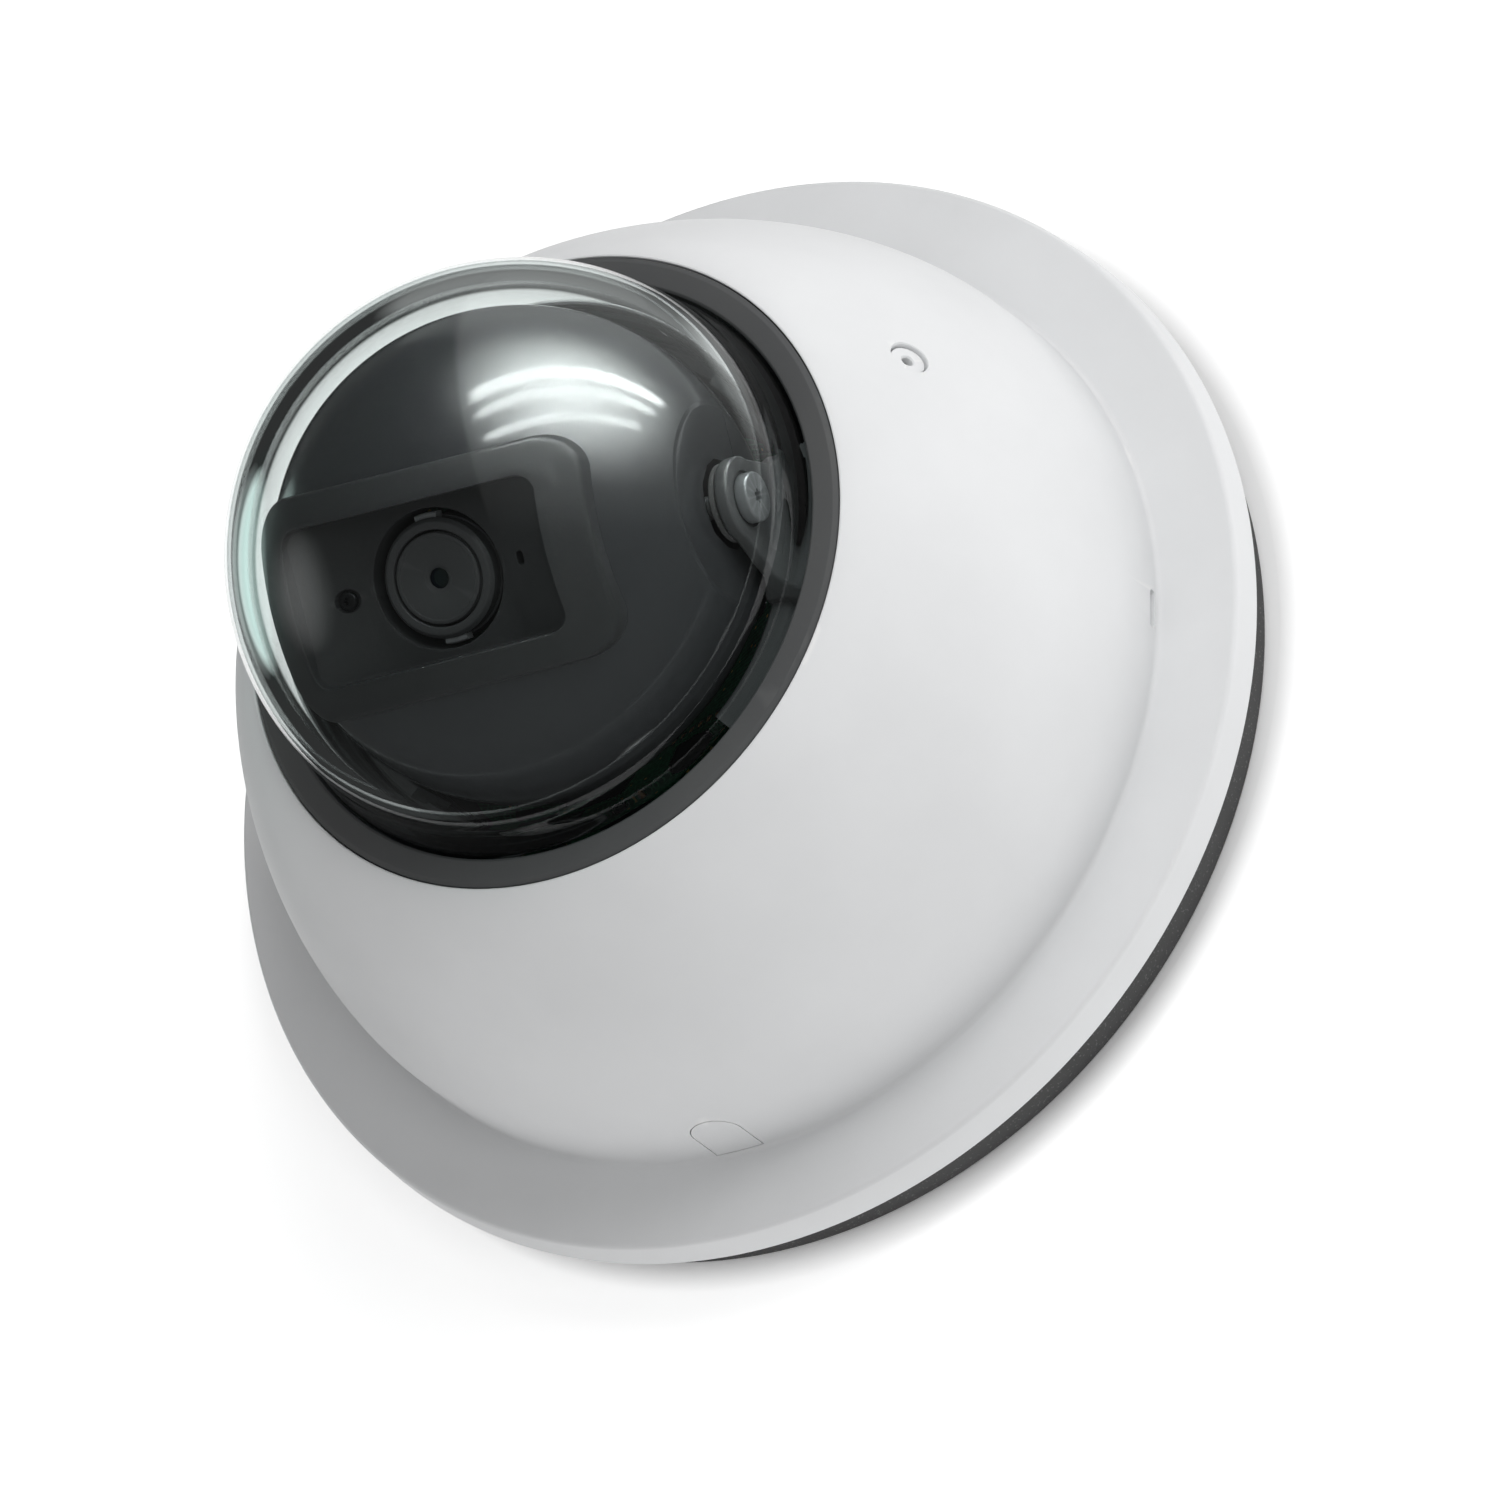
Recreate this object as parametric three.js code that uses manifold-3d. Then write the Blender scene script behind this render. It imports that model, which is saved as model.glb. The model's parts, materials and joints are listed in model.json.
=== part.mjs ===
// Wall-mounted dome security camera, 150 mm across, modelled in millimetres.
// The origin is the centre of the mounting face, and +Z points out of the wall.
// +Y is up on the wall, and the camera head looks out and down, towards -Y.
import * as THREE from 'three';
import { mergeVertices } from 'three/addons/utils/BufferGeometryUtils.js';
import Module from 'manifold-3d';

const wasm = await Module();
wasm.setup();

// ---------------------------------------------------------------- driving dimensions
const GAP = 0.3;                     // clearance kept between touching pieces
const ROUND = 40;                    // facets of a large circle
const SMALL = 10;                    // facets of a screw or a small hole

const GASKET_R = 72.0;
const GASKET_TOP = 7.0;
const PLATE = { r: 69.0, bottom: 1.8, top: 4.8, rimTop: 6.9, rimIn: 66.0, hole: 11.0 };

const FLANGE = { r: 75.0, backR: 75.3, back: 7.3, front: 13.0, lipIn: 72.6, under: 10.6 };
const BAND = { r: 63.22, top: 21.42, inner: 60.8 };
const OPENING = { r: 44.36, z: 63.62 };
const COVER_BEND = [[62.17, 39.63], [49.05, 61.9]];        // pulls the outer cover curve
const COVER_INNER_BEND = [[53.5, 48.5], [60.2, 36.0]];     // pulls the inner cover curve

const BALL_Z = 69.5;                 // height of the ball, bubble and tilt-axis centre
const BUBBLE = { outer: 39.05, inner: 36.0, skirt: 40.1, foot: 57.6, flangeR: 46.0, flangeTop: 59.3 };
const TRIM = { inner: 40.4, outer: 44.0, bottom: 59.6, top: 64.1 };

const HEAD_TILT = THREE.MathUtils.degToRad(29);            // rest angle of the optical axis
const BALL_R = 32.8;
const BALL_WALL = 2.2;
const BALL_FLAT_X = 30.0;            // flats on the ball beside the yoke ears
const BALL_SPLIT = -6.0;             // front and rear shells part here, along the optical axis
const BEZEL = { width: 46.8, height: 29.2, corner: 6.0, r: 35.0, bottom: 15.0 };
const TRAY = { width: 39.6, height: 24.0, corner: 4.0, bottom: 20.5 };
const WINDOW = { width: 36.4, height: 20.6, corner: 2.5, edge: 27.6, floor: 24.8, flat: 9.6 };
const LENS_WELL_R = 9.2;
const LENS_FRONT = 25.0;             // distance of the lens front from the ball centre
const BEZEL_SCREW_X = 12.65;
const SENSOR_POST_X = 11.6;

const EAR = { inner: 31.3, outer: 33.0, r: 5.6 };          // yoke ears beside the ball
const YOKE_WALL = { inner: 33.3, outer: 35.7, top: 58.5, halfAngle: 47 };

const LEG_R = 47.0;                  // circle through the three chassis legs
const LEG_ANGLES = [90, 210, 330];
const BOARD_R = 41.5;
const BOARD_BOTTOM = 12.0;
const BOARD_TOP = 13.6;
const BOARD_SCREW_R = 36.0;
const BOARD_SCREW_ANGLES = [30, 150, 270];
const KEYHOLE_R = 54.0;
const KEYHOLE_ANGLES = [55, 125, 235, 305];

// Each cover screw stands square to the cover's surface. Its own Z is its axis, pointing out,
// and its origin lies on that surface.
const COVER_SCREW = { azimuth: [27, 153], r: 53.7, z: 51.0, lean: 29.7 };
const COVER_SCREW_AXIAL = { face: -0.4, seat: -2.7, bossEnd: -7.0, tip: -8.6, pad: -8.9, padEnd: -14 };
const COVER_SCREW_R = { bore: 2.7, head: 2.45, shank: 1.5, hole: 1.8, boss: 4.0, pad: 3.0 };

const KNOCKOUT = { halfWidth: 3.5, bottom: 13.6, spring: 19.6 };
const PRY_SLOT = { length: 5.3, height: 1.2, depth: 1.2, y: -0.6, z: 14.4 };

// ---------------------------------------------------------------- colours
const finish = (color, roughness, metalness = 0) => ({ color, roughness, metalness });
const WHITE_SHELL = finish(0xe6e6e4, 0.42);
const BLACK_RUBBER = finish(0x3a3a3a, 0.85);
const DARK_TRIM = finish(0x464648, 0.55);
const CLEAR_DOME = finish(0xdfeeee, 0.05);
const DARK_BALL = finish(0x2e3032, 0.32);
const BLACK_PLASTIC = finish(0x242526, 0.6);
const STEEL = finish(0xb4b6b8, 0.35, 1.0);
const DARK_STEEL = finish(0x4a4b4d, 0.4, 0.8);
const BOARD_GREEN = finish(0x1f5a3c, 0.55);
const CHIP_BLACK = finish(0x1c1c1e, 0.5);
const ALUMINIUM = finish(0xa9adb0, 0.45, 1.0);
const LENS_GLASS = finish(0x25303a, 0.03);
const AMBER_FILM = finish(0xb06a1e, 0.5);
const GREY_PAD = finish(0x8f949a, 0.8);
const LED_LENS = finish(0x58c070, 0.2);

// ---------------------------------------------------------------- helpers
const radians = THREE.MathUtils.degToRad;
const polar = (r, degrees) => [r * Math.cos(radians(degrees)), r * Math.sin(radians(degrees))];

// Merges shared corners, drops empty triangles and turns every face outwards.
function closed(geometry) {
  const bare = geometry.clone();
  bare.deleteAttribute('normal');
  bare.deleteAttribute('uv');
  const merged = mergeVertices(bare, 1e-4);
  const corners = merged.getIndex().array;
  const p = merged.getAttribute('position');
  const index = [];
  let volume = 0;
  const [a, b, c] = [new THREE.Vector3(), new THREE.Vector3(), new THREE.Vector3()];
  for (let i = 0; i < corners.length; i += 3) {
    const [i0, i1, i2] = [corners[i], corners[i + 1], corners[i + 2]];
    if (i0 === i1 || i1 === i2 || i2 === i0) continue;
    index.push(i0, i1, i2);
    a.fromBufferAttribute(p, i0);
    b.fromBufferAttribute(p, i1);
    c.fromBufferAttribute(p, i2);
    volume += a.dot(b.cross(c));
  }
  if (volume < 0) index.reverse();
  const result = new THREE.BufferGeometry();
  result.setAttribute('position', p.clone());
  result.setIndex(index);
  return result;
}

function solid(geometry) {
  const shape = closed(geometry);
  return new wasm.Manifold(new wasm.Mesh({
    numProp: 3,
    vertProperties: new Float32Array(shape.getAttribute('position').array),
    triVerts: new Uint32Array(shape.getIndex().array),
  }));
}

function geometryOf(manifold) {
  const mesh = manifold.getMesh();
  const geometry = new THREE.BufferGeometry();
  geometry.setAttribute('position', new THREE.BufferAttribute(mesh.vertProperties, 3));
  geometry.setIndex(new THREE.BufferAttribute(mesh.triVerts, 1));
  return geometry;
}

// A turned piece about Z. The outline is a list of [radius, height] points: it starts and ends
// on the axis, or it is closed here by repeating its first point.
function turned(outline, facets = ROUND) {
  const points = outline.map(([r, z]) => new THREE.Vector2(r, z));
  const onAxis = outline[0][0] === 0 && outline[outline.length - 1][0] === 0;
  if (!onAxis) points.push(points[0].clone());
  return new THREE.LatheGeometry(points, facets).rotateX(Math.PI / 2);
}

const ring = (inner, outer, z0, z1, facets = ROUND) =>
  turned([[inner, z0], [outer, z0], [outer, z1], [inner, z1]], facets);

const rod = (r, z0, z1, x = 0, y = 0, facets = SMALL) =>
  new THREE.CylinderGeometry(r, r, z1 - z0, facets).rotateX(Math.PI / 2).translate(x, y, (z0 + z1) / 2);

const rodAlongX = (r, x0, x1, facets = SMALL) =>
  new THREE.CylinderGeometry(r, r, x1 - x0, facets).rotateZ(Math.PI / 2).translate((x0 + x1) / 2, 0, 0);

const block = (width, depth, z0, z1, x = 0, y = 0) =>
  new THREE.BoxGeometry(width, depth, z1 - z0).translate(x, y, (z0 + z1) / 2);

// Points of an arc in an outline, from one angle to another, in degrees from the radius direction.
function arc(centreR, centreZ, r, from, to, steps) {
  return Array.from({ length: steps + 1 }, (_, i) => {
    const [u, v] = polar(r, from + ((to - from) * i) / steps);
    return [Math.max(centreR + u, 0), centreZ + v];
  });
}

// Points of a smooth bend between two points of an outline, with two points that pull it.
function bend(start, pulls, end, steps) {
  const corners = [start, ...pulls, end].map(([r, z]) => new THREE.Vector2(r, z));
  return new THREE.CubicBezierCurve(...corners).getPoints(steps).map((p) => [p.x, p.y]);
}

// An upright prism with a rounded rectangular outline.
function roundedPrism(width, height, corner, z0, z1) {
  const [w, h] = [width / 2 - corner, height / 2 - corner];
  const shape = new THREE.Shape();
  shape.absarc(w, h, corner, 0, Math.PI / 2);
  shape.absarc(-w, h, corner, Math.PI / 2, Math.PI);
  shape.absarc(-w, -h, corner, Math.PI, Math.PI * 1.5);
  shape.absarc(w, -h, corner, Math.PI * 1.5, Math.PI * 2);
  return extruded(shape, z0, z1);
}

function extruded(shape, z0, z1) {
  const options = { depth: z1 - z0, bevelEnabled: false, curveSegments: 5 };
  return new THREE.ExtrudeGeometry(shape, options).translate(0, 0, z0);
}

// An outline in the XZ plane, drawn as [x, z], pushed through from y0 to y1.
function prismAlongY(outline, y0, y1) {
  const shape = new THREE.Shape(outline.map(([x, z]) => new THREE.Vector2(x, z)));
  return extruded(shape, -y1, -y0).rotateX(Math.PI / 2);
}

// An outline in the YZ plane, pushed through from x0 to x1.
function prismAlongX(shape, x0, x1) {
  const turn = new THREE.Matrix4().makeBasis(
    new THREE.Vector3(0, 1, 0), new THREE.Vector3(0, 0, 1), new THREE.Vector3(1, 0, 0));
  return extruded(shape, x0, x1).applyMatrix4(turn);
}

const sphere = (r, around = 36, down = 18) =>
  new THREE.SphereGeometry(r, around, down).rotateX(Math.PI / 2);

function piece(name, shape, look) {
  const geometry = shape instanceof wasm.Manifold ? geometryOf(shape) : closed(shape);
  geometry.computeVertexNormals();
  const mesh = new THREE.Mesh(geometry, new THREE.MeshStandardMaterial(look));
  mesh.name = name;
  return mesh;
}

// Moves geometry from a cover screw's own frame to its place on the cover.
const atCoverScrew = (geometry, azimuth) => geometry
  .rotateY(radians(90 - COVER_SCREW.lean))
  .translate(COVER_SCREW.r, 0, COVER_SCREW.z)
  .rotateZ(radians(azimuth));

// A machine screw along Z: a round head with a six-sided socket, and a plain shank.
function screw(headR, headBottom, headTop, shankR, tip, socketR) {
  const body = solid(rod(headR, headBottom, headTop)).add(solid(rod(shankR, tip, headBottom + 0.1)));
  const depth = (headTop - headBottom) * 0.55;
  return body.subtract(solid(rod(socketR, headTop - depth, headTop + 1, 0, 0, 6)));
}

// ---------------------------------------------------------------- wall gasket and base plate
function wallGasket() {
  const outline = [[60, 0], [GASKET_R, 0], [GASKET_R, GASKET_TOP], [PLATE.r + GAP, GASKET_TOP],
    [PLATE.r + GAP, PLATE.bottom - GAP], [60, PLATE.bottom - GAP]];
  return piece('wall_gasket', turned(outline), BLACK_RUBBER);
}

function keyhole(angle) {
  const [x, y] = polar(KEYHOLE_R, angle);
  const slot = block(7, 4.6, 0, 8, -3.5, 0).rotateZ(radians(angle + 90)).translate(x, y, 0);
  const end = rod(2.3, 0, 8, -7, 0).rotateZ(radians(angle + 90)).translate(x, y, 0);
  return solid(rod(4.5, 0, 8, x, y)).add(solid(slot)).add(solid(end));
}

function basePlate() {
  const outline = [[PLATE.hole, PLATE.bottom], [PLATE.r, PLATE.bottom], [PLATE.r, PLATE.rimTop],
    [PLATE.rimIn, PLATE.rimTop], [PLATE.rimIn, PLATE.top], [PLATE.hole, PLATE.top]];
  let body = solid(turned(outline));
  for (const angle of BOARD_SCREW_ANGLES) {
    const [x, y] = polar(BOARD_SCREW_R, angle);
    body = body.add(solid(rod(3.0, PLATE.top - 1, BOARD_BOTTOM - GAP, x, y)));
    body = body.subtract(solid(rod(1.5, 8, 20, x, y)));
  }
  for (const angle of LEG_ANGLES) {
    const [x, y] = polar(LEG_R, angle);
    body = body.subtract(solid(rod(1.9, 0, 8, x, y))).subtract(solid(rod(3.4, 0, 3.6, x, y)));
  }
  for (const angle of KEYHOLE_ANGLES) body = body.subtract(keyhole(angle));
  return piece('base_plate', body, BLACK_PLASTIC);
}

function cableGrommet() {
  const [flange, neck, hole] = [13.2, PLATE.hole - GAP, 3.5];
  const outline = [[hole, 0.3], [flange, 0.3], [flange, PLATE.bottom - GAP], [neck, PLATE.bottom - GAP],
    [neck, PLATE.top + GAP], [flange, PLATE.top + GAP], [flange, 7.0], [hole, 7.0]];
  return piece('cable_grommet', turned(outline, 20), BLACK_RUBBER);
}

function coverSeal() {
  return piece('cover_seal', ring(BAND.inner - 0.2, 63.4, PLATE.top + GAP, 7.0), BLACK_RUBBER);
}

// ---------------------------------------------------------------- electronics in the base
function mainBoard() {
  let body = solid(rod(BOARD_R, BOARD_BOTTOM, BOARD_TOP, 0, 0, 28));
  for (const angle of BOARD_SCREW_ANGLES) {
    const [x, y] = polar(BOARD_SCREW_R, angle);
    body = body.subtract(solid(rod(1.6, 10, 16, x, y)));
  }
  return piece('main_board', body, BOARD_GREEN);
}

function boardScrews() {
  return BOARD_SCREW_ANGLES.map((angle, i) => {
    const mesh = piece(`board_screw_${i + 1}`, screw(2.5, 0, 1.7, 1.2, -5.2, 1.2), STEEL);
    mesh.position.set(...polar(BOARD_SCREW_R, angle), BOARD_TOP + GAP);
    return mesh;
  });
}

function heatSink() {
  const [side, base, height, fins] = [18, 2, 8, 5];
  let body = solid(block(side, side, 0, base));
  for (let i = 0; i < fins; i += 1) {
    const x = -side / 2 + 0.7 + (i * (side - 1.4)) / (fins - 1);
    body = body.add(solid(block(1.4, side, base - 0.5, height, x, 0)));
  }
  return body;
}

function ethernetJack() {
  const [length, width, height] = [21, 16, 13.5];
  const cavity = solid(block(16, 11.8, 3.2, 10.2, -4, 0));
  const latch = solid(block(16, 4.4, 1.2, 4, -4, 0));
  return solid(block(length, width, 0, height)).subtract(cavity).subtract(latch);
}

function memoryCardSlot() {
  return solid(block(14, 14.6, 0, 1.9)).subtract(solid(block(14, 11.4, 0.5, 1.5, 2, 0)));
}

function resetSwitch() {
  return solid(block(6.2, 6.2, 0, 3.2)).subtract(solid(rod(2.0, 1.3, 5)));
}

function boardParts() {
  const on = BOARD_TOP + GAP;
  const place = (mesh, x, y, z = on) => {
    mesh.position.set(x, y, z);
    return mesh;
  };
  const led = [[0, 0], [1.5, 0], [1.5, 2.2], ...arc(0, 2.2, 1.5, 15, 90, 4)];
  return [
    place(piece('image_processor', block(16, 16, 0, 1.6), CHIP_BLACK), -2, 17),
    place(piece('thermal_pad', block(15, 15, 0, 0.5), GREY_PAD), -2, 17, on + 1.9),
    place(piece('heat_sink', heatSink(), ALUMINIUM), -2, 17, on + 2.7),
    place(piece('ethernet_jack', ethernetJack(), STEEL), -28.5, 0),
    place(piece('memory_card_slot', memoryCardSlot(), STEEL), 24, -15),
    place(piece('reset_switch', resetSwitch(), CHIP_BLACK), 15, 27),
    place(piece('reset_button', rod(1.7, 1.9, 4.7), DARK_TRIM), 15, 27),
    place(piece('status_led', turned(led, 12), LED_LENS), 33, 4),
    place(piece('head_connector', block(12, 4, 0, 2.6), BLACK_PLASTIC), 0, 0),
  ];
}

// ---------------------------------------------------------------- chassis and pan bearing
function chassisFrame() {
  const outline = [[34.5, 40.5], [44.5, 40.5], [44.5, 49.0], [42.2, 49.0], [42.2, 43.5], [34.5, 43.5]];
  let body = solid(turned(outline));
  for (const angle of LEG_ANGLES) {
    const [x, y] = polar(LEG_R, angle);
    body = body.add(solid(rod(3.6, PLATE.top + GAP, 49.0, x, y)));
    body = body.subtract(solid(rod(1.85, 0, 15, x, y))).subtract(solid(rod(1.3, 43, 60, x, y)));
  }
  for (const azimuth of COVER_SCREW.azimuth) {
    const pad = rod(COVER_SCREW_R.pad, COVER_SCREW_AXIAL.padEnd, COVER_SCREW_AXIAL.pad);
    const outside = solid(ring(42.2, 60, 30, 60));
    body = body.add(solid(atCoverScrew(pad, azimuth)).intersect(outside));
  }
  return piece('chassis_frame', body, BLACK_PLASTIC);
}

function panRetainer() {
  const outline = [[37.8, 46.9], [41.8, 46.9], [41.8, 49.3], [44.4, 49.3], [44.4, 51.0], [37.8, 51.0]];
  let body = solid(turned(outline));
  for (const angle of LEG_ANGLES) {
    const [x, y] = polar(LEG_R, angle);
    body = body.add(solid(rod(3.6, 49.3, 51.0, x, y))).subtract(solid(rod(1.3, 40, 60, x, y)));
  }
  return piece('pan_retainer', body, BLACK_PLASTIC);
}

function chassisScrews() {
  return LEG_ANGLES.flatMap((angle, i) => {
    const below = piece(`chassis_screw_${i + 1}`, screw(3.0, -3.3, -2.1, 1.5, -14, 1.4), STEEL);
    below.rotation.x = Math.PI;
    below.position.set(...polar(LEG_R, angle), 0);
    const above = piece(`retainer_screw_${i + 1}`, screw(2.1, 51.3, 52.6, 1.0, 44.0, 1.0), STEEL);
    above.position.set(...polar(LEG_R, angle), 0);
    return [below, above];
  });
}

// ---------------------------------------------------------------- pan yoke
// One arm on the +X side: a plate with a rounded ear around the tilt axis, standing on a
// curved wall that follows the pan ring.
function yokeArm() {
  const ear = new THREE.Shape();
  ear.absarc(0, BALL_Z, EAR.r, 0, Math.PI);
  ear.lineTo(-7.6, BALL_Z - 6.0);
  ear.lineTo(-10.5, BALL_Z - 9.5);
  ear.lineTo(-10.5, 50.0);
  ear.lineTo(10.5, 50.0);
  ear.lineTo(10.5, BALL_Z - 9.5);
  ear.lineTo(7.6, BALL_Z - 6.0);
  const round = solid(rod(YOKE_WALL.outer, 40, 90, 0, 0, ROUND));
  const plate = solid(prismAlongX(ear, EAR.inner, 40)).intersect(round);
  const edge = polar(80, YOKE_WALL.halfAngle);
  const wedge = new THREE.Shape([[0, 0], [edge[0], -edge[1]], edge].map((p) => new THREE.Vector2(...p)));
  const wall = solid(ring(YOKE_WALL.inner, YOKE_WALL.outer, 50.0, YOKE_WALL.top))
    .intersect(solid(extruded(wedge, 40, 70)));
  const step = [[EAR.outer, 90], [EAR.outer, BALL_Z - 5.5], [35.9, BALL_Z - 9.5],
    [45, BALL_Z - 9.5], [45, 90]];
  const holes = solid(rodAlongX(2.0, 30, 40)).add(solid(rodAlongX(3.7, EAR.outer - 0.5, 40, 24)));
  const arm = plate.add(wall).subtract(solid(prismAlongY(step, -20, 20)));
  return arm.subtract(solid(geometryOf(holes).translate(0, 0, BALL_Z)));
}

function panYoke() {
  const outline = [[34.9, 43.8], [41.8, 43.8], [41.8, 46.6], [37.4, 46.6], [37.4, 54.5], [34.9, 54.5]];
  const right = yokeArm();
  const left = solid(geometryOf(right).rotateZ(Math.PI));
  return piece('pan_yoke', solid(turned(outline)).add(right).add(left), BLACK_PLASTIC);
}

function tiltScrews() {
  return [['right', 1], ['left', -1]].map(([side, sign]) => {
    const body = geometryOf(screw(3.25, EAR.outer - 0.2, EAR.outer + 1.4, 1.6, 24.8, 1.1));
    const mesh = piece(`tilt_screw_${side}`, body.rotateY(Math.PI / 2), DARK_STEEL);
    mesh.rotation.z = sign > 0 ? 0 : Math.PI;
    mesh.position.z = BALL_Z;
    return mesh;
  });
}

function headRibbon() {
  return piece('head_ribbon', block(10, 0.4, BOARD_TOP + GAP + 2.9, 47.0), AMBER_FILM);
}

// ---------------------------------------------------------------- camera ball
// The ball's own frame: its centre is the origin, X is the tilt axis and Z the optical axis.
function ballShell() {
  const slab = (x) => solid(new THREE.BoxGeometry(2 * x, 100, 100));
  let body = solid(sphere(BALL_R)).intersect(slab(BALL_FLAT_X));
  body = body.subtract(solid(sphere(BALL_R - BALL_WALL, 24, 12)).intersect(slab(BALL_FLAT_X - 2.4)));
  for (const sign of [-1, 1]) {
    const boss = rodAlongX(4.2, 23, BALL_FLAT_X - 2).rotateZ(sign > 0 ? 0 : Math.PI);
    const bore = rodAlongX(2.0, 24.4, 40).rotateZ(sign > 0 ? 0 : Math.PI);
    body = body.add(solid(boss)).subtract(solid(bore));
  }
  return body;
}

function ballFront() {
  const window = roundedPrism(TRAY.width + 0.8, TRAY.height + 0.8, TRAY.corner + 0.4, 10, 50);
  const front = ballShell().intersect(solid(block(100, 100, BALL_SPLIT, 60)));
  return piece('ball_front', front.subtract(solid(window)), DARK_BALL);
}

// The rear shell has a slot in which the ribbon cable stays upright while the ball tilts.
function ballRear() {
  const slot = new THREE.Shape();
  slot.moveTo(0, 0);
  for (let angle = -98; angle <= -11; angle += 14.5) {
    slot.lineTo(-50 * Math.cos(radians(angle)), 50 * Math.sin(radians(angle)));
  }
  const rear = ballShell().intersect(solid(block(100, 100, -60, BALL_SPLIT - GAP)));
  return piece('ball_rear', rear.subtract(solid(prismAlongX(slot, -6.5, 6.5))), DARK_BALL);
}

function lensBezel() {
  const rim = solid(roundedPrism(BEZEL.width, BEZEL.height, BEZEL.corner, BEZEL.bottom, 50))
    .intersect(solid(sphere(BEZEL.r))).subtract(solid(sphere(BALL_R + 0.4, 28, 14)));
  const tray = solid(roundedPrism(TRAY.width, TRAY.height, TRAY.corner, TRAY.bottom, 50))
    .intersect(solid(sphere(BEZEL.r - 0.6)));
  const half = WINDOW.width / 2;
  const slopes = [[-half, WINDOW.edge], [-WINDOW.flat, WINDOW.floor], [WINDOW.flat, WINDOW.floor],
    [half, WINDOW.edge], [half, 60], [-half, 60]];
  const recess = solid(roundedPrism(WINDOW.width, WINDOW.height, WINDOW.corner, 20, 60))
    .intersect(solid(prismAlongY(slopes, -20, 20)));
  let body = rim.add(tray).subtract(recess).subtract(solid(rod(LENS_WELL_R, 10, 60, 0, 0, 24)));
  for (const sign of [-1, 1]) {
    body = body.add(solid(rod(1.9, 5.6, TRAY.bottom + 0.5, sign * SENSOR_POST_X, 0)));
    body = body.subtract(solid(rod(1.1, 0, 11, sign * SENSOR_POST_X, 0)));
  }
  body = body.subtract(solid(rod(1.5, 25.0, 40, -BEZEL_SCREW_X, 0)));
  body = body.subtract(solid(rod(0.9, 21.6, 26, -BEZEL_SCREW_X, 0)));
  body = body.subtract(solid(block(1.0, 1.8, 22.5, 40, BEZEL_SCREW_X, 0)));
  return piece('lens_bezel', body, BLACK_PLASTIC);
}

function bezelScrew() {
  const mesh = piece('bezel_screw', screw(1.2, 25.3, 26.2, 0.6, 21.9, 0.5), DARK_STEEL);
  mesh.position.x = -BEZEL_SCREW_X;
  return mesh;
}

function tiltWashers() {
  return [['right', 1], ['left', -1]].map(([side, sign]) => {
    const washer = ring(2.3, 5.2, BALL_FLAT_X + GAP, EAR.inner - GAP, 12).rotateY(Math.PI / 2);
    const mesh = piece(`tilt_washer_${side}`, washer, BLACK_RUBBER);
    mesh.rotation.z = sign > 0 ? 0 : Math.PI;
    return mesh;
  });
}

function sensorStack() {
  let board = solid(block(27, 22, 4.0, 5.3));
  for (const sign of [-1, 1]) board = board.subtract(solid(rod(1.2, 0, 10, sign * SENSOR_POST_X, 0)));
  const bore = solid(rod(5.0, 0, 30)).add(solid(rod(6.3, 8.9, 30, 0, 0, 24)));
  const holder = solid(block(15, 15, 5.6, 9.2)).add(solid(rod(7.6, 9.0, 17.9, 0, 0, 24))).subtract(bore);
  const screws = [-1, 1].map((sign, i) => {
    const mesh = piece(`sensor_screw_${i + 1}`, screw(1.9, -3.7, -2.3, 0.9, -10, 0.9), STEEL);
    mesh.rotation.x = Math.PI;
    mesh.position.x = sign * SENSOR_POST_X;
    return mesh;
  });
  return [
    piece('sensor_board', board, BOARD_GREEN),
    piece('image_sensor', block(7.2, 5.6, 5.6, 6.6), CHIP_BLACK),
    piece('lens_holder', holder, BLACK_PLASTIC),
    ...screws,
  ];
}

// ---------------------------------------------------------------- lens, turned to focus
function focusRing() {
  const outline = [[6.3, 18.8], [8.0, 18.8], [8.0, 24.3], [7.5, LENS_FRONT - 0.1], [6.3, LENS_FRONT - 0.1]];
  let body = solid(turned(outline, 24));
  for (const sign of [-1, 1]) {
    body = body.add(solid(block(3.0, 1.2, 22.3, 24.1, 0, sign * 8.0)));
  }
  return piece('focus_ring', body, BLACK_PLASTIC);
}

function lens() {
  const front = [[0, 19.5], [4.7, 19.5], [4.7, 22.4], ...arc(0, 12.4, 11.6, 66, 90, 5)];
  const rear = [[0, 11.0], [4.7, 11.4], [4.7, 13.2], [0, 13.6]];
  return [
    piece('lens_barrel', ring(5.0, 6.0, 9.5, 24.1, 24), BLACK_PLASTIC),
    focusRing(),
    piece('lens_mask', ring(1.35, 5.95, LENS_FRONT - 0.6, LENS_FRONT, 24), CHIP_BLACK),
    piece('front_lens', turned(front, 16), LENS_GLASS),
    piece('rear_lens', turned(rear, 16), LENS_GLASS),
  ];
}

function cameraHead() {
  const head = new THREE.Group();
  head.position.z = BALL_Z;
  head.rotation.x = HEAD_TILT;
  head.add(ballFront(), ballRear(), lensBezel(), bezelScrew(), ...tiltWashers(), ...sensorStack(), ...lens());
  return head;
}

// ---------------------------------------------------------------- cover with its clear bubble
const coverCurve = (steps) =>
  bend([BAND.r, BAND.top], COVER_BEND, [OPENING.r, OPENING.z], steps);

const coverOutside = [[FLANGE.backR, FLANGE.back], [FLANGE.r, 12.4], [74.8, 12.85], [74.3, FLANGE.front],
  [63.7, FLANGE.front], [BAND.r, 13.5], ...coverCurve(8)];

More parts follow.
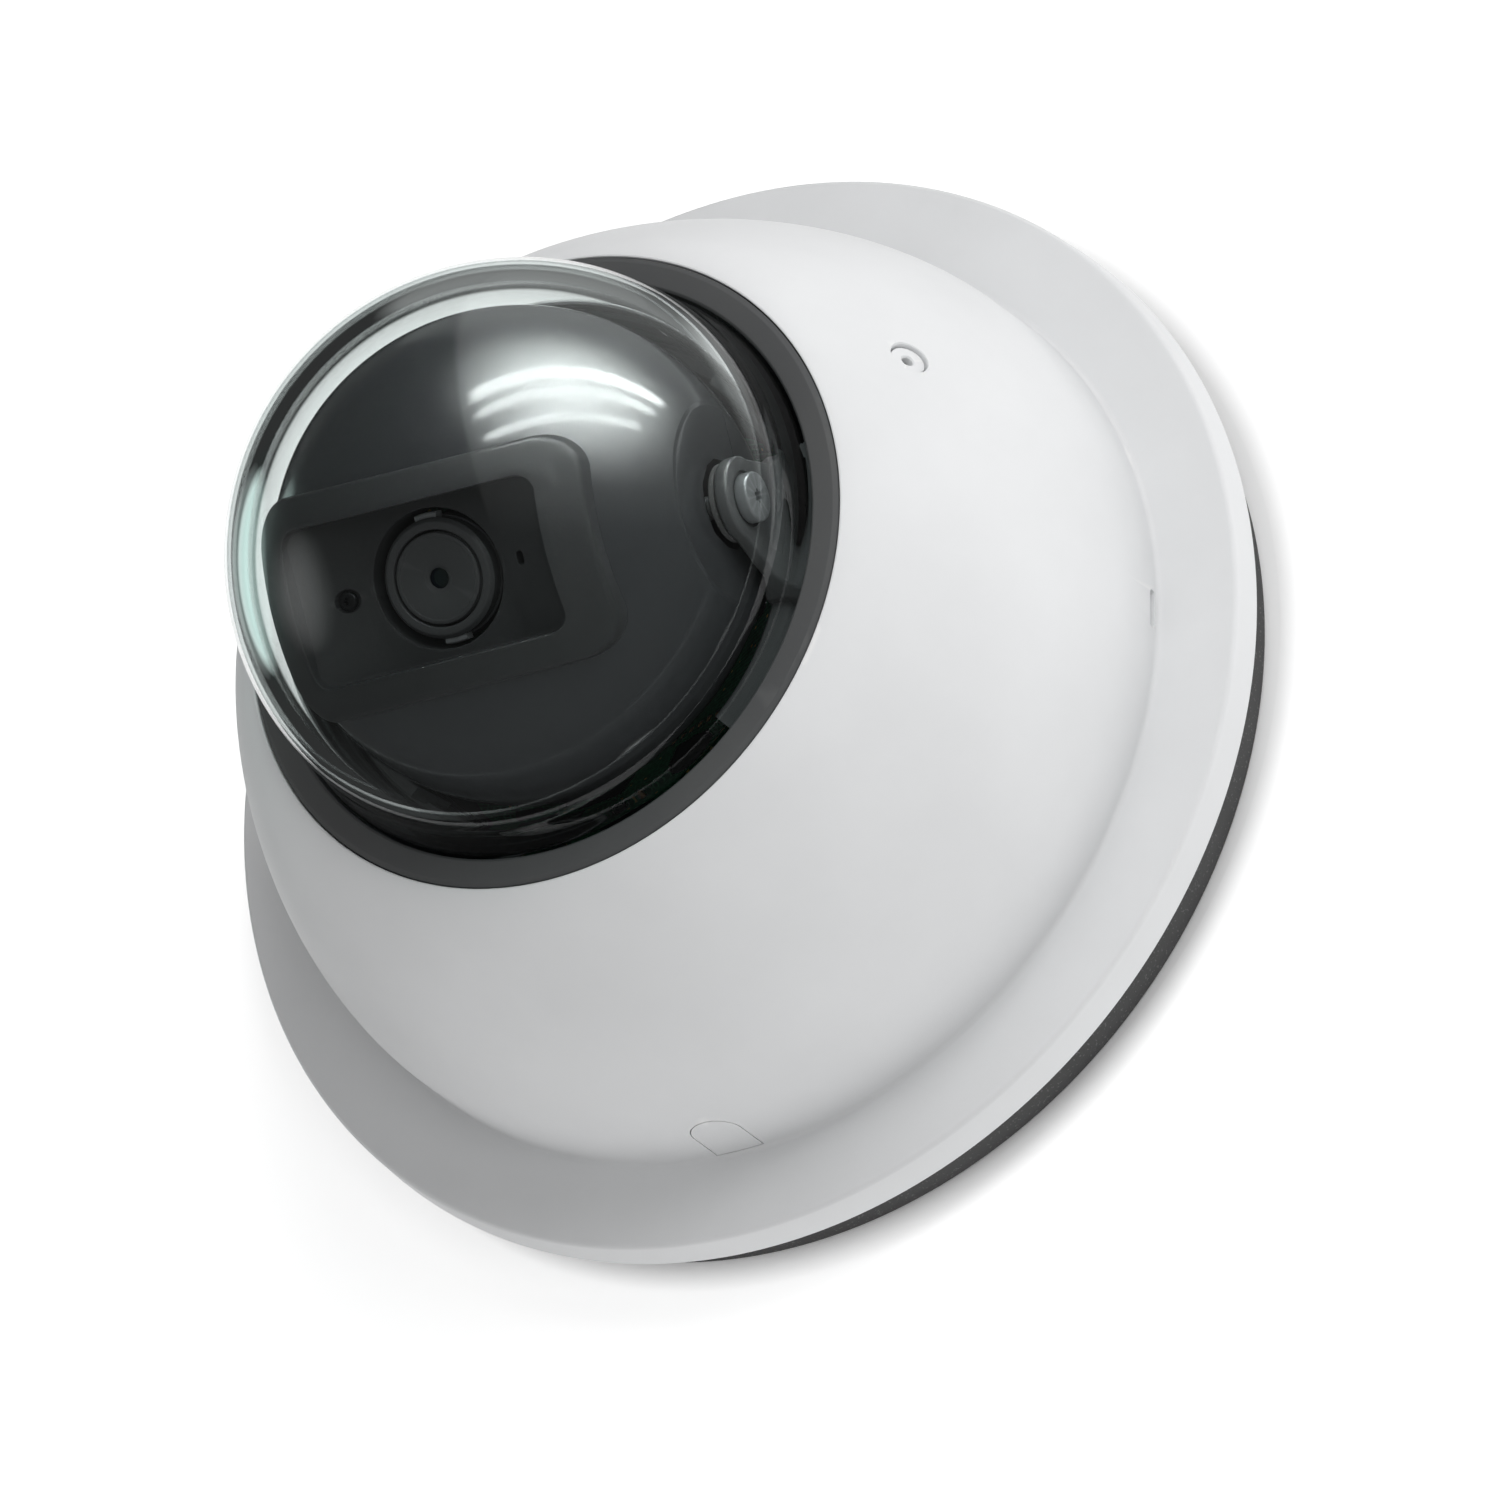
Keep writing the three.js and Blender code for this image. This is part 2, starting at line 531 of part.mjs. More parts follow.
const coverInside = [[OPENING.r, 59.6], [47.6, 59.6], [47.6, BUBBLE.foot], [48.6, BUBBLE.foot],
  ...bend([48.6, 55.0], COVER_INNER_BEND, [BAND.inner, BAND.top], 4),
  [BAND.inner, FLANGE.back], [63.0, FLANGE.back], [63.0, FLANGE.under],
  [FLANGE.lipIn, FLANGE.under], [FLANGE.lipIn, FLANGE.back]];

// The cover's wall, before anything is cut into it.
const coverWall = () => solid(turned([...coverOutside, ...coverInside]));

// The arch of the knock-out at the foot of the cover, drawn in the XZ plane and grown by a margin.
function knockoutPrism(margin) {
  const r = KNOCKOUT.halfWidth + margin;
  const shape = new THREE.Shape();
  shape.absarc(0, KNOCKOUT.spring, r, 0, Math.PI);
  shape.lineTo(-r, KNOCKOUT.bottom - margin);
  shape.lineTo(r, KNOCKOUT.bottom - margin);
  return extruded(shape, 50, 70).rotateX(Math.PI / 2);
}

function coverShell() {
  const envelope = solid(turned([[0, 0], [FLANGE.backR, 0], ...coverOutside, [0, OPENING.z]]));
  let body = coverWall();
  for (const azimuth of COVER_SCREW.azimuth) {
    const cut = (r, from, to) => solid(atCoverScrew(rod(r, from, to, 0, 0, 12), azimuth));
    body = body.add(cut(COVER_SCREW_R.boss, COVER_SCREW_AXIAL.bossEnd, 2).intersect(envelope));
    body = body.subtract(cut(COVER_SCREW_R.bore, COVER_SCREW_AXIAL.seat - GAP, 6));
    body = body.subtract(cut(COVER_SCREW_R.hole, -20, 0));
  }
  const slot = new THREE.BoxGeometry(2 * PRY_SLOT.depth, PRY_SLOT.length, PRY_SLOT.height);
  body = body.subtract(solid(slot.translate(BAND.r, PRY_SLOT.y, PRY_SLOT.z)));
  body = body.subtract(solid(knockoutPrism(GAP)));
  return piece('cover_shell', body, WHITE_SHELL);
}

function conduitKnockout() {
  return piece('conduit_knockout', coverWall().intersect(solid(knockoutPrism(0))), WHITE_SHELL);
}

function trimRing() {
  const outline = [[TRIM.inner, TRIM.bottom], [TRIM.outer, TRIM.bottom], [TRIM.outer, 63.5], [43.6, 63.75],
    [40.9, TRIM.top], [TRIM.inner, 63.8]];
  return piece('trim_ring', turned(outline), DARK_TRIM);
}

function domeBubble() {
  const skirt = bend([BUBBLE.skirt, 63.9], [[39.4, 65.2], [39.05, 66.8]], [BUBBLE.outer, BALL_Z], 4);
  const outline = [...arc(0, BALL_Z, BUBBLE.inner, 90, 0, 8), [BUBBLE.inner, BUBBLE.foot],
    [BUBBLE.flangeR, BUBBLE.foot], [BUBBLE.flangeR, BUBBLE.flangeTop], [BUBBLE.skirt, BUBBLE.flangeTop],
    ...skirt, ...arc(0, BALL_Z, BUBBLE.outer, 0, 90, 8).slice(1)];
  outline[0][0] = 0;
  outline[outline.length - 1][0] = 0;
  return piece('dome_bubble', turned(outline), CLEAR_DOME);
}

function coverScrews() {
  return ['right', 'left'].flatMap((side, i) => {
    const at = COVER_SCREW_AXIAL;
    const body = screw(COVER_SCREW_R.head, at.seat, at.face, COVER_SCREW_R.shank, at.tip, 0.8);
    const clip = ring(COVER_SCREW_R.shank + GAP, 2.9, at.bossEnd - 1.0, at.bossEnd - GAP, 12);
    const place = (geometry) => atCoverScrew(geometry, COVER_SCREW.azimuth[i]);
    return [
      piece(`cover_screw_${side}`, place(geometryOf(body)), WHITE_SHELL),
      piece(`screw_clip_${side}`, place(clip), STEEL),
    ];
  });
}

function cover() {
  const group = new THREE.Group();
  group.add(coverShell(), conduitKnockout(), trimRing(), domeBubble(), ...coverScrews());
  group.add(piece('bubble_seal', ring(46.3, 47.3, 57.9, BUBBLE.flangeTop), BLACK_RUBBER));
  group.add(piece('bubble_retainer', ring(38.6, 48.3, 55.3, BUBBLE.foot - GAP), BLACK_PLASTIC));
  return group;
}

// ---------------------------------------------------------------- whole camera
const camera = new THREE.Group();
camera.add(wallGasket(), basePlate(), cableGrommet(), coverSeal());
camera.add(mainBoard(), ...boardScrews(), ...boardParts());
camera.add(chassisFrame(), panRetainer(), ...chassisScrews());
camera.add(panYoke(), ...tiltScrews(), headRibbon());
camera.add(cameraHead());
camera.add(cover());

export default camera;
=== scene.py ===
import json
import math

import bmesh
import bpy
import numpy as np
from mathutils import Matrix, Vector

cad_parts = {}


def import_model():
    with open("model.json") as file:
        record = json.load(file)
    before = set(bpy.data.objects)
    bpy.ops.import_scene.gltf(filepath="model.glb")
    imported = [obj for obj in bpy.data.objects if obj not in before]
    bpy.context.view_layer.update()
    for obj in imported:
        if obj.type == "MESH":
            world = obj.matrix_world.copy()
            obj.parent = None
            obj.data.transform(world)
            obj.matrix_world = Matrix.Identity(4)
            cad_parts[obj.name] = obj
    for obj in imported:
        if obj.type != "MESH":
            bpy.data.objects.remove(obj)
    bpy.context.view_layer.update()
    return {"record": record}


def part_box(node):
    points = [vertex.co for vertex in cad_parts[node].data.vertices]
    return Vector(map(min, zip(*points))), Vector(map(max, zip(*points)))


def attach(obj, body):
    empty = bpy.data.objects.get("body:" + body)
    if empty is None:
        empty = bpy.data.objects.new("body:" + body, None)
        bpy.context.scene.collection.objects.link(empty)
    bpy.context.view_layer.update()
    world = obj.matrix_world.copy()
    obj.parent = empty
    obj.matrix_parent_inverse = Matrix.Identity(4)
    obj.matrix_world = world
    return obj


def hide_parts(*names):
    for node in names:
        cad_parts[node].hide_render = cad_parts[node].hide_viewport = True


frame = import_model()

BODY_OF = {node: body for body, nodes in frame["record"]["behaviour"]["bodies"].items() for node in nodes}
MM = 0.001


def box_mm(node):
    """Lowest and highest corner of a CAD node, in millimetres."""
    low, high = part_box(node)
    return low / MM, high / MM


# ------------------------------------------------------------------ driving dimensions, in mm
ROUND = 192                                       # steps around a large circle
FLANGE_R = box_mm("cover_shell")[1].x
FLANGE_BACK = box_mm("cover_shell")[0].z
FLANGE_FRONT = 13.0
OPENING_R = 44.36                                 # mouth of the cover, round the trim ring
OPENING_Z = box_mm("cover_shell")[1].z
BAND_R = 63.22                                    # upright band between flange and dome
BAND_TOP = 21.42
BAND_INNER = 60.8
BUBBLE_R = 39.05
BUBBLE_INNER = 36.0
BALL_Z = box_mm("dome_bubble")[1].z - BUBBLE_R    # height of the ball and bubble centre
BALL_R = 32.8
BALL_FLAT_X = 30.0
HEAD_TILT = 29                                    # degrees
SPLIT = -6.0                                      # where the two ball shells meet
BEZEL_R = 35.0                                    # sphere that the bezel's face follows
BALL_WALL = 2.2
COVER_SCREW = {"azimuths": (27, 153), "r": 53.7, "z": 51.0, "lean": 29.7}
KNOCKOUT = {"half": 3.5, "bottom": 13.6, "spring": 19.6, "seam": 0.09}
PRY_SLOT = {"half": 2.65, "rise": 0.6, "depth": 1.2, "y": -0.6, "z": 14.4}
BEZEL_HOLE_X = 12.65                              # screw on one side of the lens, slot on the other
SENSOR_POST_X = 11.6
LEG_R = 47.0                                      # circle through the chassis legs
LEG_ANGLES = (90, 210, 330)
KEYHOLE_R = 54.0
KEYHOLE_ANGLES = (55, 125, 235, 305)
BOARD_R = 41.5
BOARD_SCREW_R = 36.0
BOARD_SCREW_ANGLES = (30, 150, 270)
BOARD_BOTTOM, BOARD_TOP = (corner.z for corner in box_mm("main_board"))
ON_BOARD = BOARD_TOP + 0.3

# ------------------------------------------------------------------ mesh helpers


def polar(r, degrees):
    return r * math.cos(math.radians(degrees)), r * math.sin(math.radians(degrees))


def arc(centre, r, start, end, steps):
    """Points of an arc of an outline, from one angle to another in degrees."""
    angles = np.linspace(start, end, steps + 1)
    return [(centre[0] + polar(r, a)[0], centre[1] + polar(r, a)[1]) for a in angles]


def bend(start, pull_a, pull_b, end, steps):
    """Points of a cubic curve between two points, pulled by two more."""
    p = [np.array(q, float) for q in (start, pull_a, pull_b, end)]
    curve = []
    for t in np.linspace(0, 1, steps + 1):
        s = 1 - t
        curve.append(tuple(s ** 3 * p[0] + 3 * s * s * t * p[1] + 3 * s * t * t * p[2] + t ** 3 * p[3]))
    return curve


def rounded(corners, steps=4):
    """A closed outline's points. A corner given as (a, b, radius) is rounded to that radius."""
    points = []
    count = len(corners)
    for i, corner in enumerate(corners):
        here = np.array(corner[:2], float)
        if len(corner) < 3:
            points.append(tuple(here))
            continue
        before = np.array(corners[i - 1][:2], float) - here
        after = np.array(corners[(i + 1) % count][:2], float) - here
        before, after = before / np.linalg.norm(before), after / np.linalg.norm(after)
        half = math.acos(max(-1.0, min(1.0, float(before @ after)))) / 2
        reach = corner[2] / math.tan(half)
        points += bend(here + before * reach, here + before * reach * 0.45, here + after * reach * 0.45,
                       here + after * reach, steps)
    return points


def lathe(outline, steps=ROUND, sweep=None):
    """Mesh of a closed outline of (radius, height) turned about Z, or through part of a turn."""
    whole = sweep is None
    angles = np.linspace(0, 2 * math.pi, steps, endpoint=False) if whole else np.radians(
        np.linspace(sweep[0], sweep[1], steps + 1))
    verts, rows = [], []
    for r, z in outline:
        if r < 1e-6:
            rows.append([len(verts)] * len(angles))
            verts.append((0.0, 0.0, z))
        else:
            rows.append(list(range(len(verts), len(verts) + len(angles))))
            verts += [(r * math.cos(a), r * math.sin(a), z) for a in angles]
    faces = []
    for low, high in zip(rows, rows[1:] + rows[:1]):
        for i in range(len(angles) if whole else len(angles) - 1):
            j = (i + 1) % len(angles)
            face = list(dict.fromkeys((low[i], low[j], high[j], high[i])))
            if len(face) > 2:
                faces.append(face)
    if not whole:
        faces += [[row[0] for row in rows], [row[-1] for row in rows]]
    return verts, faces


def loft(rings, closed=False):
    """Mesh joining rings of points that all have the same count, with flat ends or a closed loop."""
    count = len(rings[0])
    verts = [tuple(p) for ring in rings for p in ring]
    faces = []
    pairs = list(zip(range(len(rings)), range(1, len(rings)))) + ([(len(rings) - 1, 0)] if closed else [])
    for a, b in pairs:
        for i in range(count):
            j = (i + 1) % count
            faces.append([a * count + i, a * count + j, b * count + j, b * count + i])
    if not closed:
        faces += [list(range(count)), list(range(len(verts) - count, len(verts)))]
    return verts, faces


def prism(outline, low, high):
    """Mesh of an upright prism over an outline of (x, y)."""
    return loft([[(x, y, z) for x, y in outline] for z in (low, high)])


def block(width, depth, low, high, x=0.0, y=0.0):
    """Mesh of a rectangular block centred on (x, y)."""
    w, d = width / 2, depth / 2
    return prism([(x - w, y - d), (x + w, y - d), (x + w, y + d), (x - w, y + d)], low, high)


def disc(r, low, high, edge=0.2, steps=48):
    """Mesh of a round post with rounded edges."""
    return lathe(rounded([(0, low), (r, low, edge), (r, high, edge), (0, high)], 3), steps)


def hoop(inner, outer, low, high, edge=0.25, steps=128):
    """Mesh of a ring with rounded edges."""
    outline = [(inner, low, edge), (outer, low, edge), (outer, high, edge), (inner, high, edge)]
    return lathe(rounded(outline, 4), steps)


def joined(*meshes):
    """One mesh made of several."""
    verts, faces = [], []
    for more_verts, more_faces in meshes:
        faces += [[i + len(verts) for i in face] for face in more_faces]
        verts += list(more_verts)
    return verts, faces


def moved(mesh, matrix):
    verts, faces = mesh
    return [tuple(matrix @ Vector(v)) for v in verts], faces


def to(x=0, y=0, z=0):
    return Matrix.Translation((x, y, z))


def spun(degrees, axis="Z"):
    return Matrix.Rotation(math.radians(degrees), 4, axis)


def at(r, angle):
    """A place on a circle round the axis, with its own directions unturned."""
    return to(*polar(r, angle))


ALONG_X = spun(90, "Y")                           # a mesh about Z becomes one about X
HEAD = to(z=BALL_Z) @ spun(HEAD_TILT, "X")


def cover_screw_frame(azimuth):
    """Place of a cover screw: its own Z is its axis, square to the cover and pointing out."""
    return spun(azimuth) @ to(COVER_SCREW["r"], 0, COVER_SCREW["z"]) @ spun(90 - COVER_SCREW["lean"], "Y")


def new_object(name, mesh):
    """A Blender object, in metres, from a mesh in millimetres."""
    verts, faces = mesh
    data = bpy.data.meshes.new(name)
    data.from_pydata([tuple(c * MM for c in v) for v in verts], [], faces)
    work = bmesh.new()
    work.from_mesh(data)
    bmesh.ops.remove_doubles(work, verts=work.verts, dist=1e-7)
    bmesh.ops.recalc_face_normals(work, faces=work.faces)
    work.to_mesh(data)
    work.free()
    obj = bpy.data.objects.new(name, data)
    bpy.context.scene.collection.objects.link(obj)
    return obj


def apply_modifiers(obj):
    graph = bpy.context.evaluated_depsgraph_get()
    result = bpy.data.meshes.new_from_object(obj.evaluated_get(graph))
    obj.modifiers.clear()
    obj.data = result


def combine(obj, other, operation):
    """Cuts a mesh or an object from an object, adds it, or keeps only what both share."""
    if isinstance(other, tuple):
        other = new_object("cutter", other)
    modifier = obj.modifiers.new("combine", "BOOLEAN")
    modifier.object = other
    modifier.operation = operation
    modifier.solver = "EXACT"
    apply_modifiers(obj)
    bpy.data.objects.remove(other)
    return obj


def cut(obj, other):
    return combine(obj, other, "DIFFERENCE")


def add(obj, other):
    return combine(obj, other, "UNION")


def keep(obj, other):
    return combine(obj, other, "INTERSECT")


def drill(obj, r, low, high, place, edge=0.1, steps=24):
    """Cuts a round hole along the Z of a place."""
    return cut(obj, moved(disc(r, low, high, edge, steps), place))


def bevelled(obj, width, angle=40, segments=3):
    modifier = obj.modifiers.new("edges", "BEVEL")
    modifier.width = width * MM
    modifier.segments = segments
    modifier.limit_method = "ANGLE"
    modifier.angle_limit = math.radians(angle)
    apply_modifiers(obj)
    return obj


def soft_block(name, edge, segments, *size):
    """A rectangular block with rounded edges, as an object."""
    return bevelled(new_object(name, block(*size)), edge, 40, segments)


def shaded(obj, material, sharp=32):
    """Smooth shading that breaks at edges sharper than the given angle, with a material."""
    obj.data.shade_smooth()
    obj.data.set_sharp_from_angle(angle=math.radians(sharp))
    obj.data.materials.clear()
    obj.data.materials.append(material)
    return obj


def placed(obj, matrix, name):
    """Moves an object's mesh, made about its own origin, by a matrix in millimetres."""
    scaled = matrix.copy()
    scaled.translation = matrix.translation * MM
    obj.data.transform(scaled)
    obj.name = name
    return obj


def take_place(node, obj):
    """Shows an object in place of a CAD node, on that node's body."""
    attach(obj, BODY_OF[node])
    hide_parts(node)


def stand_in(node, shape, material, sharp=32):
    """Finishes a mesh or an object and shows it in place of a CAD node."""
    obj = new_object(node + "_fine", shape) if isinstance(shape, tuple) else shape
    take_place(node, shaded(obj, material, sharp))
    return obj


def stand_in_head(node, shape, material):
    """As stand_in, for a shape given about the lens axis with the ball's centre as its origin."""
    if isinstance(shape, tuple):
        stand_in(node, moved(shape, HEAD), material)
    else:
        stand_in(node, placed(shape, HEAD, node + "_fine"), material)


def extra(name, shape, body, material):
    """Shows a small piece that has no CAD node of its own."""
    obj = new_object(name, shape) if isinstance(shape, tuple) else shape
    shaded(obj, material)
    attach(obj, body)


# ------------------------------------------------------------------ materials


def linear(hex_colour):
    """Linear colour of a hex number in sRGB."""
    parts = [((hex_colour >> shift) & 255) / 255 for shift in (16, 8, 0)]
    return tuple(c / 12.92 if c <= 0.04045 else ((c + 0.055) / 1.055) ** 2.4 for c in parts) + (1.0,)


def plug(tree, socket, value):
    """Links an input to another node's output, or sets it to a plain value."""
    if isinstance(value, bpy.types.NodeSocket):
        tree.links.new(value, socket)
    else:
        socket.default_value = value


def feed(tree, node, **inputs):
    """Links or sets inputs of a node by name, where an underscore stands for a space."""
    for key, value in inputs.items():
        plug(tree, node.inputs[key.replace("_", " ")], value)


def shader_node(tree, kind, settings=None, **inputs):
    """A new node with its settings and its inputs."""
    node = tree.nodes.new(kind)
    for key, value in (settings or {}).items():
        setattr(node, key, value)
    feed(tree, node, **inputs)
    return node


def noise(tree, position, scale, detail=3.0, roughness=0.55):
    node = shader_node(tree, "ShaderNodeTexNoise", None, Vector=position, Scale=scale, Detail=detail,
                       Roughness=roughness)
    return node.outputs["Fac"]


def spread(tree, value, low, high, to_low=0.0, to_high=1.0):
    """Stretches a value's range to another, and clamps it."""
    node = shader_node(tree, "ShaderNodeMapRange", {"clamp": True}, Value=value, From_Min=low,
                       From_Max=high, To_Min=to_low, To_Max=to_high)
    return node.outputs["Result"]


def mixed(tree, factor, colour_a, colour_b):
    node = shader_node(tree, "ShaderNodeMix", {"data_type": "RGBA"}, Factor=factor)
    for index, colour in ((6, colour_a), (7, colour_b)):
        plug(tree, node.inputs[index], colour)
    return node.outputs[2]


def opened(material):
    """A material's node tree, its shader, and the position within the piece that it colours."""
    tree = material.node_tree
    position = next(n for n in tree.nodes if n.type == "TEX_COORD").outputs["Object"]
    return tree, tree.nodes["Principled BSDF"], position


def blank_material(name):
    material = bpy.data.materials.new(name)
    material.use_nodes = True
    shader_node(material.node_tree, "ShaderNodeTexCoord")
    return material


def bumped(tree, shader, height, depth, strength=1.0):
    """Raises a surface by a texture, to a depth in millimetres."""
    bump = shader_node(tree, "ShaderNodeBump", None, Height=height, Strength=strength, Distance=depth * MM)
    feed(tree, shader, Normal=bump.outputs["Normal"])


def moulded(name, colour, tone, roughness, gloss_spread, grain, grain_depth, painted_edge_highlight=None, **fixed):
    """Moulded or cast material: fine grain, cloudy tone, uneven gloss and, if given, paler sharp edges,
    which are a painted edge highlight.

    colour and tone are the two colours that the clouds run between, grain is in repeats per metre
    and grain_depth in millimetres.
    """
    material = blank_material(name)
    tree, shader, position = opened(material)
    feed(tree, shader, **fixed)
    clouds = spread(tree, noise(tree, position, 38.0, 5.0), 0.32, 0.68)
    base = mixed(tree, clouds, linear(colour), linear(tone))
    if painted_edge_highlight is not None:
        # Painted highlight: sharp convex edges, found by pointiness, are painted paler.
        pointiness = shader_node(tree, "ShaderNodeNewGeometry").outputs["Pointiness"]
        edge = spread(tree, pointiness, 0.53, 0.62, 0, 0.5)
        base = mixed(tree, edge, base, linear(painted_edge_highlight))
    rough = spread(tree, noise(tree, position, 90.0, 4.0), 0.3, 0.7, roughness - gloss_spread,
                   roughness + gloss_spread)
    feed(tree, shader, Base_Color=base, Roughness=rough)
    bumped(tree, shader, noise(tree, position, grain, 2.0, 0.6), grain_depth)
    return material


def speckled(material, scale, colour, share):
    """Adds fine flecks of another colour to a moulded material."""
    tree, shader, position = opened(material)
    old = shader.inputs["Base Color"].links[0].from_socket
    flecks = spread(tree, noise(tree, position, scale, 1.0), 1 - share, 1 - share + 0.04)
    feed(tree, shader, Base_Color=mixed(tree, flecks, old, linear(colour)))
    return material


def brushed(name, colour, tone, roughness, stretch):
    """Metal with fine scratches that run across one axis."""
    material = moulded(name, colour, tone, roughness, 0.08, 900.0, 0.004, Metallic=1.0)
    tree, shader, position = opened(material)
    scaled = shader_node(tree, "ShaderNodeMapping", None, Vector=position, Scale=stretch)
    bumped(tree, shader, noise(tree, scaled.outputs["Vector"], 1.0, 3.0), 0.006)
    return material


def clear_dome_material():
    """Moulded clear polycarbonate with a faint green-blue tint in its thickness.

    Rays from lamps pass straight through, so that the lamps light what is inside.
    """
    material = blank_material("clear_polycarbonate")
    tree, shader, position = opened(material)
    smears = spread(tree, noise(tree, position, 30.0, 4.0), 0.45, 0.8, 0.0, 0.012)
    feed(tree, shader, Base_Color=(0.985, 1.0, 0.995, 1.0), Transmission_Weight=1.0, IOR=1.52,
         Roughness=smears)
    lamps = shader_node(tree, "ShaderNodeBsdfTransparent", None, Color=(0.93, 0.95, 0.945, 1.0))
    path = shader_node(tree, "ShaderNodeLightPath")
    mix = shader_node(tree, "ShaderNodeMixShader", None, Fac=path.outputs["Is Shadow Ray"])
    tree.links.new(shader.outputs["BSDF"], mix.inputs[1])
    tree.links.new(lamps.outputs["BSDF"], mix.inputs[2])
    tint = shader_node(tree, "ShaderNodeVolumeAbsorption", None, Color=(0.45, 0.86, 0.80, 1.0),
                       Density=16.0)
    feed(tree, tree.nodes["Material Output"], Surface=mix.outputs["Shader"], Volume=tint.outputs["Volume"])
    return material


def lens_glass_material():
    """Coated lens glass, coloured dark as painted shade for the dark inside of the lens, with a faint
    cloudiness in the gloss of its coating.
    """
    return moulded("coated_lens_glass", 0x0A0F14, 0x101820, 0.04, 0.02, 60.0, 0.0005, Coat_Weight=1.0,
                   Coat_Roughness=0.02, IOR=1.7, Thin_Film_Thickness=420.0, Thin_Film_IOR=1.38)


def board_material():
    """Green circuit board: solder resist over a raised network of copper tracks, with vias."""
    material = moulded("solder_resist", 0x174A31, 0x1D5A3B, 0.4, 0.08, 700.0, 0.004)
    tree, shader, position = opened(material)
    tracks = shader_node(tree, "ShaderNodeTexBrick", {"offset": 0.5, "squash": 0.6, "squash_frequency": 3},
                         Vector=position, Scale=260.0, Mortar_Size=0.035, Mortar_Smooth=0.3,
                         Color1=(0, 0, 0, 1), Color2=(0, 0, 0, 1), Mortar=(1, 1, 1, 1))
    vias = shader_node(tree, "ShaderNodeTexVoronoi", None, Vector=position, Scale=420.0)
    dots = spread(tree, vias.outputs["Distance"], 0.12, 0.16, 1.0, 0.0)
    old = shader.inputs["Base Color"].links[0].from_socket
    with_tracks = mixed(tree, tracks.outputs["Color"], old, linear(0x2E7350))
    feed(tree, shader, Base_Color=mixed(tree, dots, with_tracks, linear(0xB9A25C)))
    bumped(tree, shader, tracks.outputs["Fac"], 0.03, 0.6)
    return material


WHITE = moulded("white_polycarbonate", 0xE8E9EA, 0xE3E4E5, 0.46, 0.04, 2600.0, 0.006, painted_edge_highlight=0xF4F4F3)
RUBBER = speckled(moulded("gasket_rubber", 0x505050, 0x565656, 0.82, 0.06, 3200.0, 0.03), 2400.0, 0x6C6C6C,
                  0.36)
TRIM = moulded("trim_plastic", 0x525354, 0x585959, 0.46, 0.05, 3000.0, 0.010, painted_edge_highlight=0x626363)
DOME = clear_dome_material()
BALL = moulded("ball_plastic", 0x343537, 0x37383A, 0.32, 0.02, 1500.0, 0.0003, Specular_IOR_Level=0.3,
               Coat_Weight=1.0, Coat_Roughness=0.08)
BLACK = moulded("black_plastic", 0x2B2C2D, 0x303132, 0.5, 0.06, 2800.0, 0.012, painted_edge_highlight=0x3C3D3E)
LENS_BLACK = moulded("lens_black", 0x3B3C3D, 0x404142, 0.38, 0.05, 1800.0, 0.004, painted_edge_highlight=0x4A4B4C)
YOKE = moulded("yoke_plastic", 0x48494A, 0x4E4F50, 0.42, 0.06, 2800.0, 0.012, painted_edge_highlight=0x5C5D5E)
ZINC = moulded("dark_zinc", 0x8C8E90, 0x808284, 0.4, 0.06, 1600.0, 0.004, painted_edge_highlight=0xA2A4A6, Metallic=0.35)
LENS_GLASS = lens_glass_material()
STEEL = brushed("steel", 0xB6B8BA, 0x9EA1A4, 0.3, (900.0, 9000.0, 900.0))
DARK_STEEL = brushed("blackened_steel", 0x7C7E80, 0x707274, 0.42, (900.0, 7000.0, 900.0))
BOARD = board_material()
ALUMINIUM = brushed("anodised_aluminium", 0xA4A8AB, 0x94989B, 0.36, (400.0, 6000.0, 400.0))
FILM = moulded("ribbon_film", 0xA8661F, 0x8F5417, 0.42, 0.06, 500.0, 0.01)
PAD = speckled(moulded("thermal_pad_silicone", 0x8F949A, 0x868B91, 0.8, 0.05, 1500.0, 0.02),
               1900.0, 0xB9BDC2, 0.4)
LED = moulded("led_epoxy", 0x4DB866, 0x63C97A, 0.18, 0.03, 300.0, 0.002, Transmission_Weight=0.5)
CHIP = moulded("chip_epoxy", 0x17181A, 0x1D1E20, 0.55, 0.06, 2600.0, 0.012)
CERAMIC = moulded("capacitor_ceramic", 0xA78B68, 0x947655, 0.5, 0.08, 1500.0, 0.006)
COPPER = brushed("track_copper", 0xC98A4B, 0xB87A3E, 0.35, (900.0, 5000.0, 900.0))
GOLD = brushed("gold_plate", 0xD9B760, 0xC7A24C, 0.25, (900.0, 5000.0, 900.0))

# ------------------------------------------------------------------ cover
COVER_CURVE = bend((BAND_R, BAND_TOP), (62.17, 39.63), (49.05, 61.9), (OPENING_R, OPENING_Z), 48)


def cover_outline():
    """Outline of the cover: outside from the flange up to the opening, then back down inside."""
    outside = rounded([(FLANGE_R, FLANGE_BACK, 0.35), (75.0, FLANGE_FRONT, 0.7),
                       (BAND_R, FLANGE_FRONT, 0.7), (BAND_R, BAND_TOP)], 6)[:-1]
    inside_curve = bend((48.6, 55.0), (53.5, 48.5), (60.2, 36.0), (BAND_INNER, BAND_TOP), 24)
    mouth = rounded([COVER_CURVE[-2], (OPENING_R, OPENING_Z, 0.22), (OPENING_R, 59.6)], 4)[1:-1]
    inside = [(OPENING_R, 59.6), (47.6, 59.6), (47.6, 57.6), (48.6, 57.6)] + inside_curve
    inside += [(BAND_INNER, FLANGE_BACK), (63.0, FLANGE_BACK), (63.0, 10.6), (72.6, 10.6),
               (72.6, FLANGE_BACK)]
    return outside + COVER_CURVE[:-1] + mouth + inside


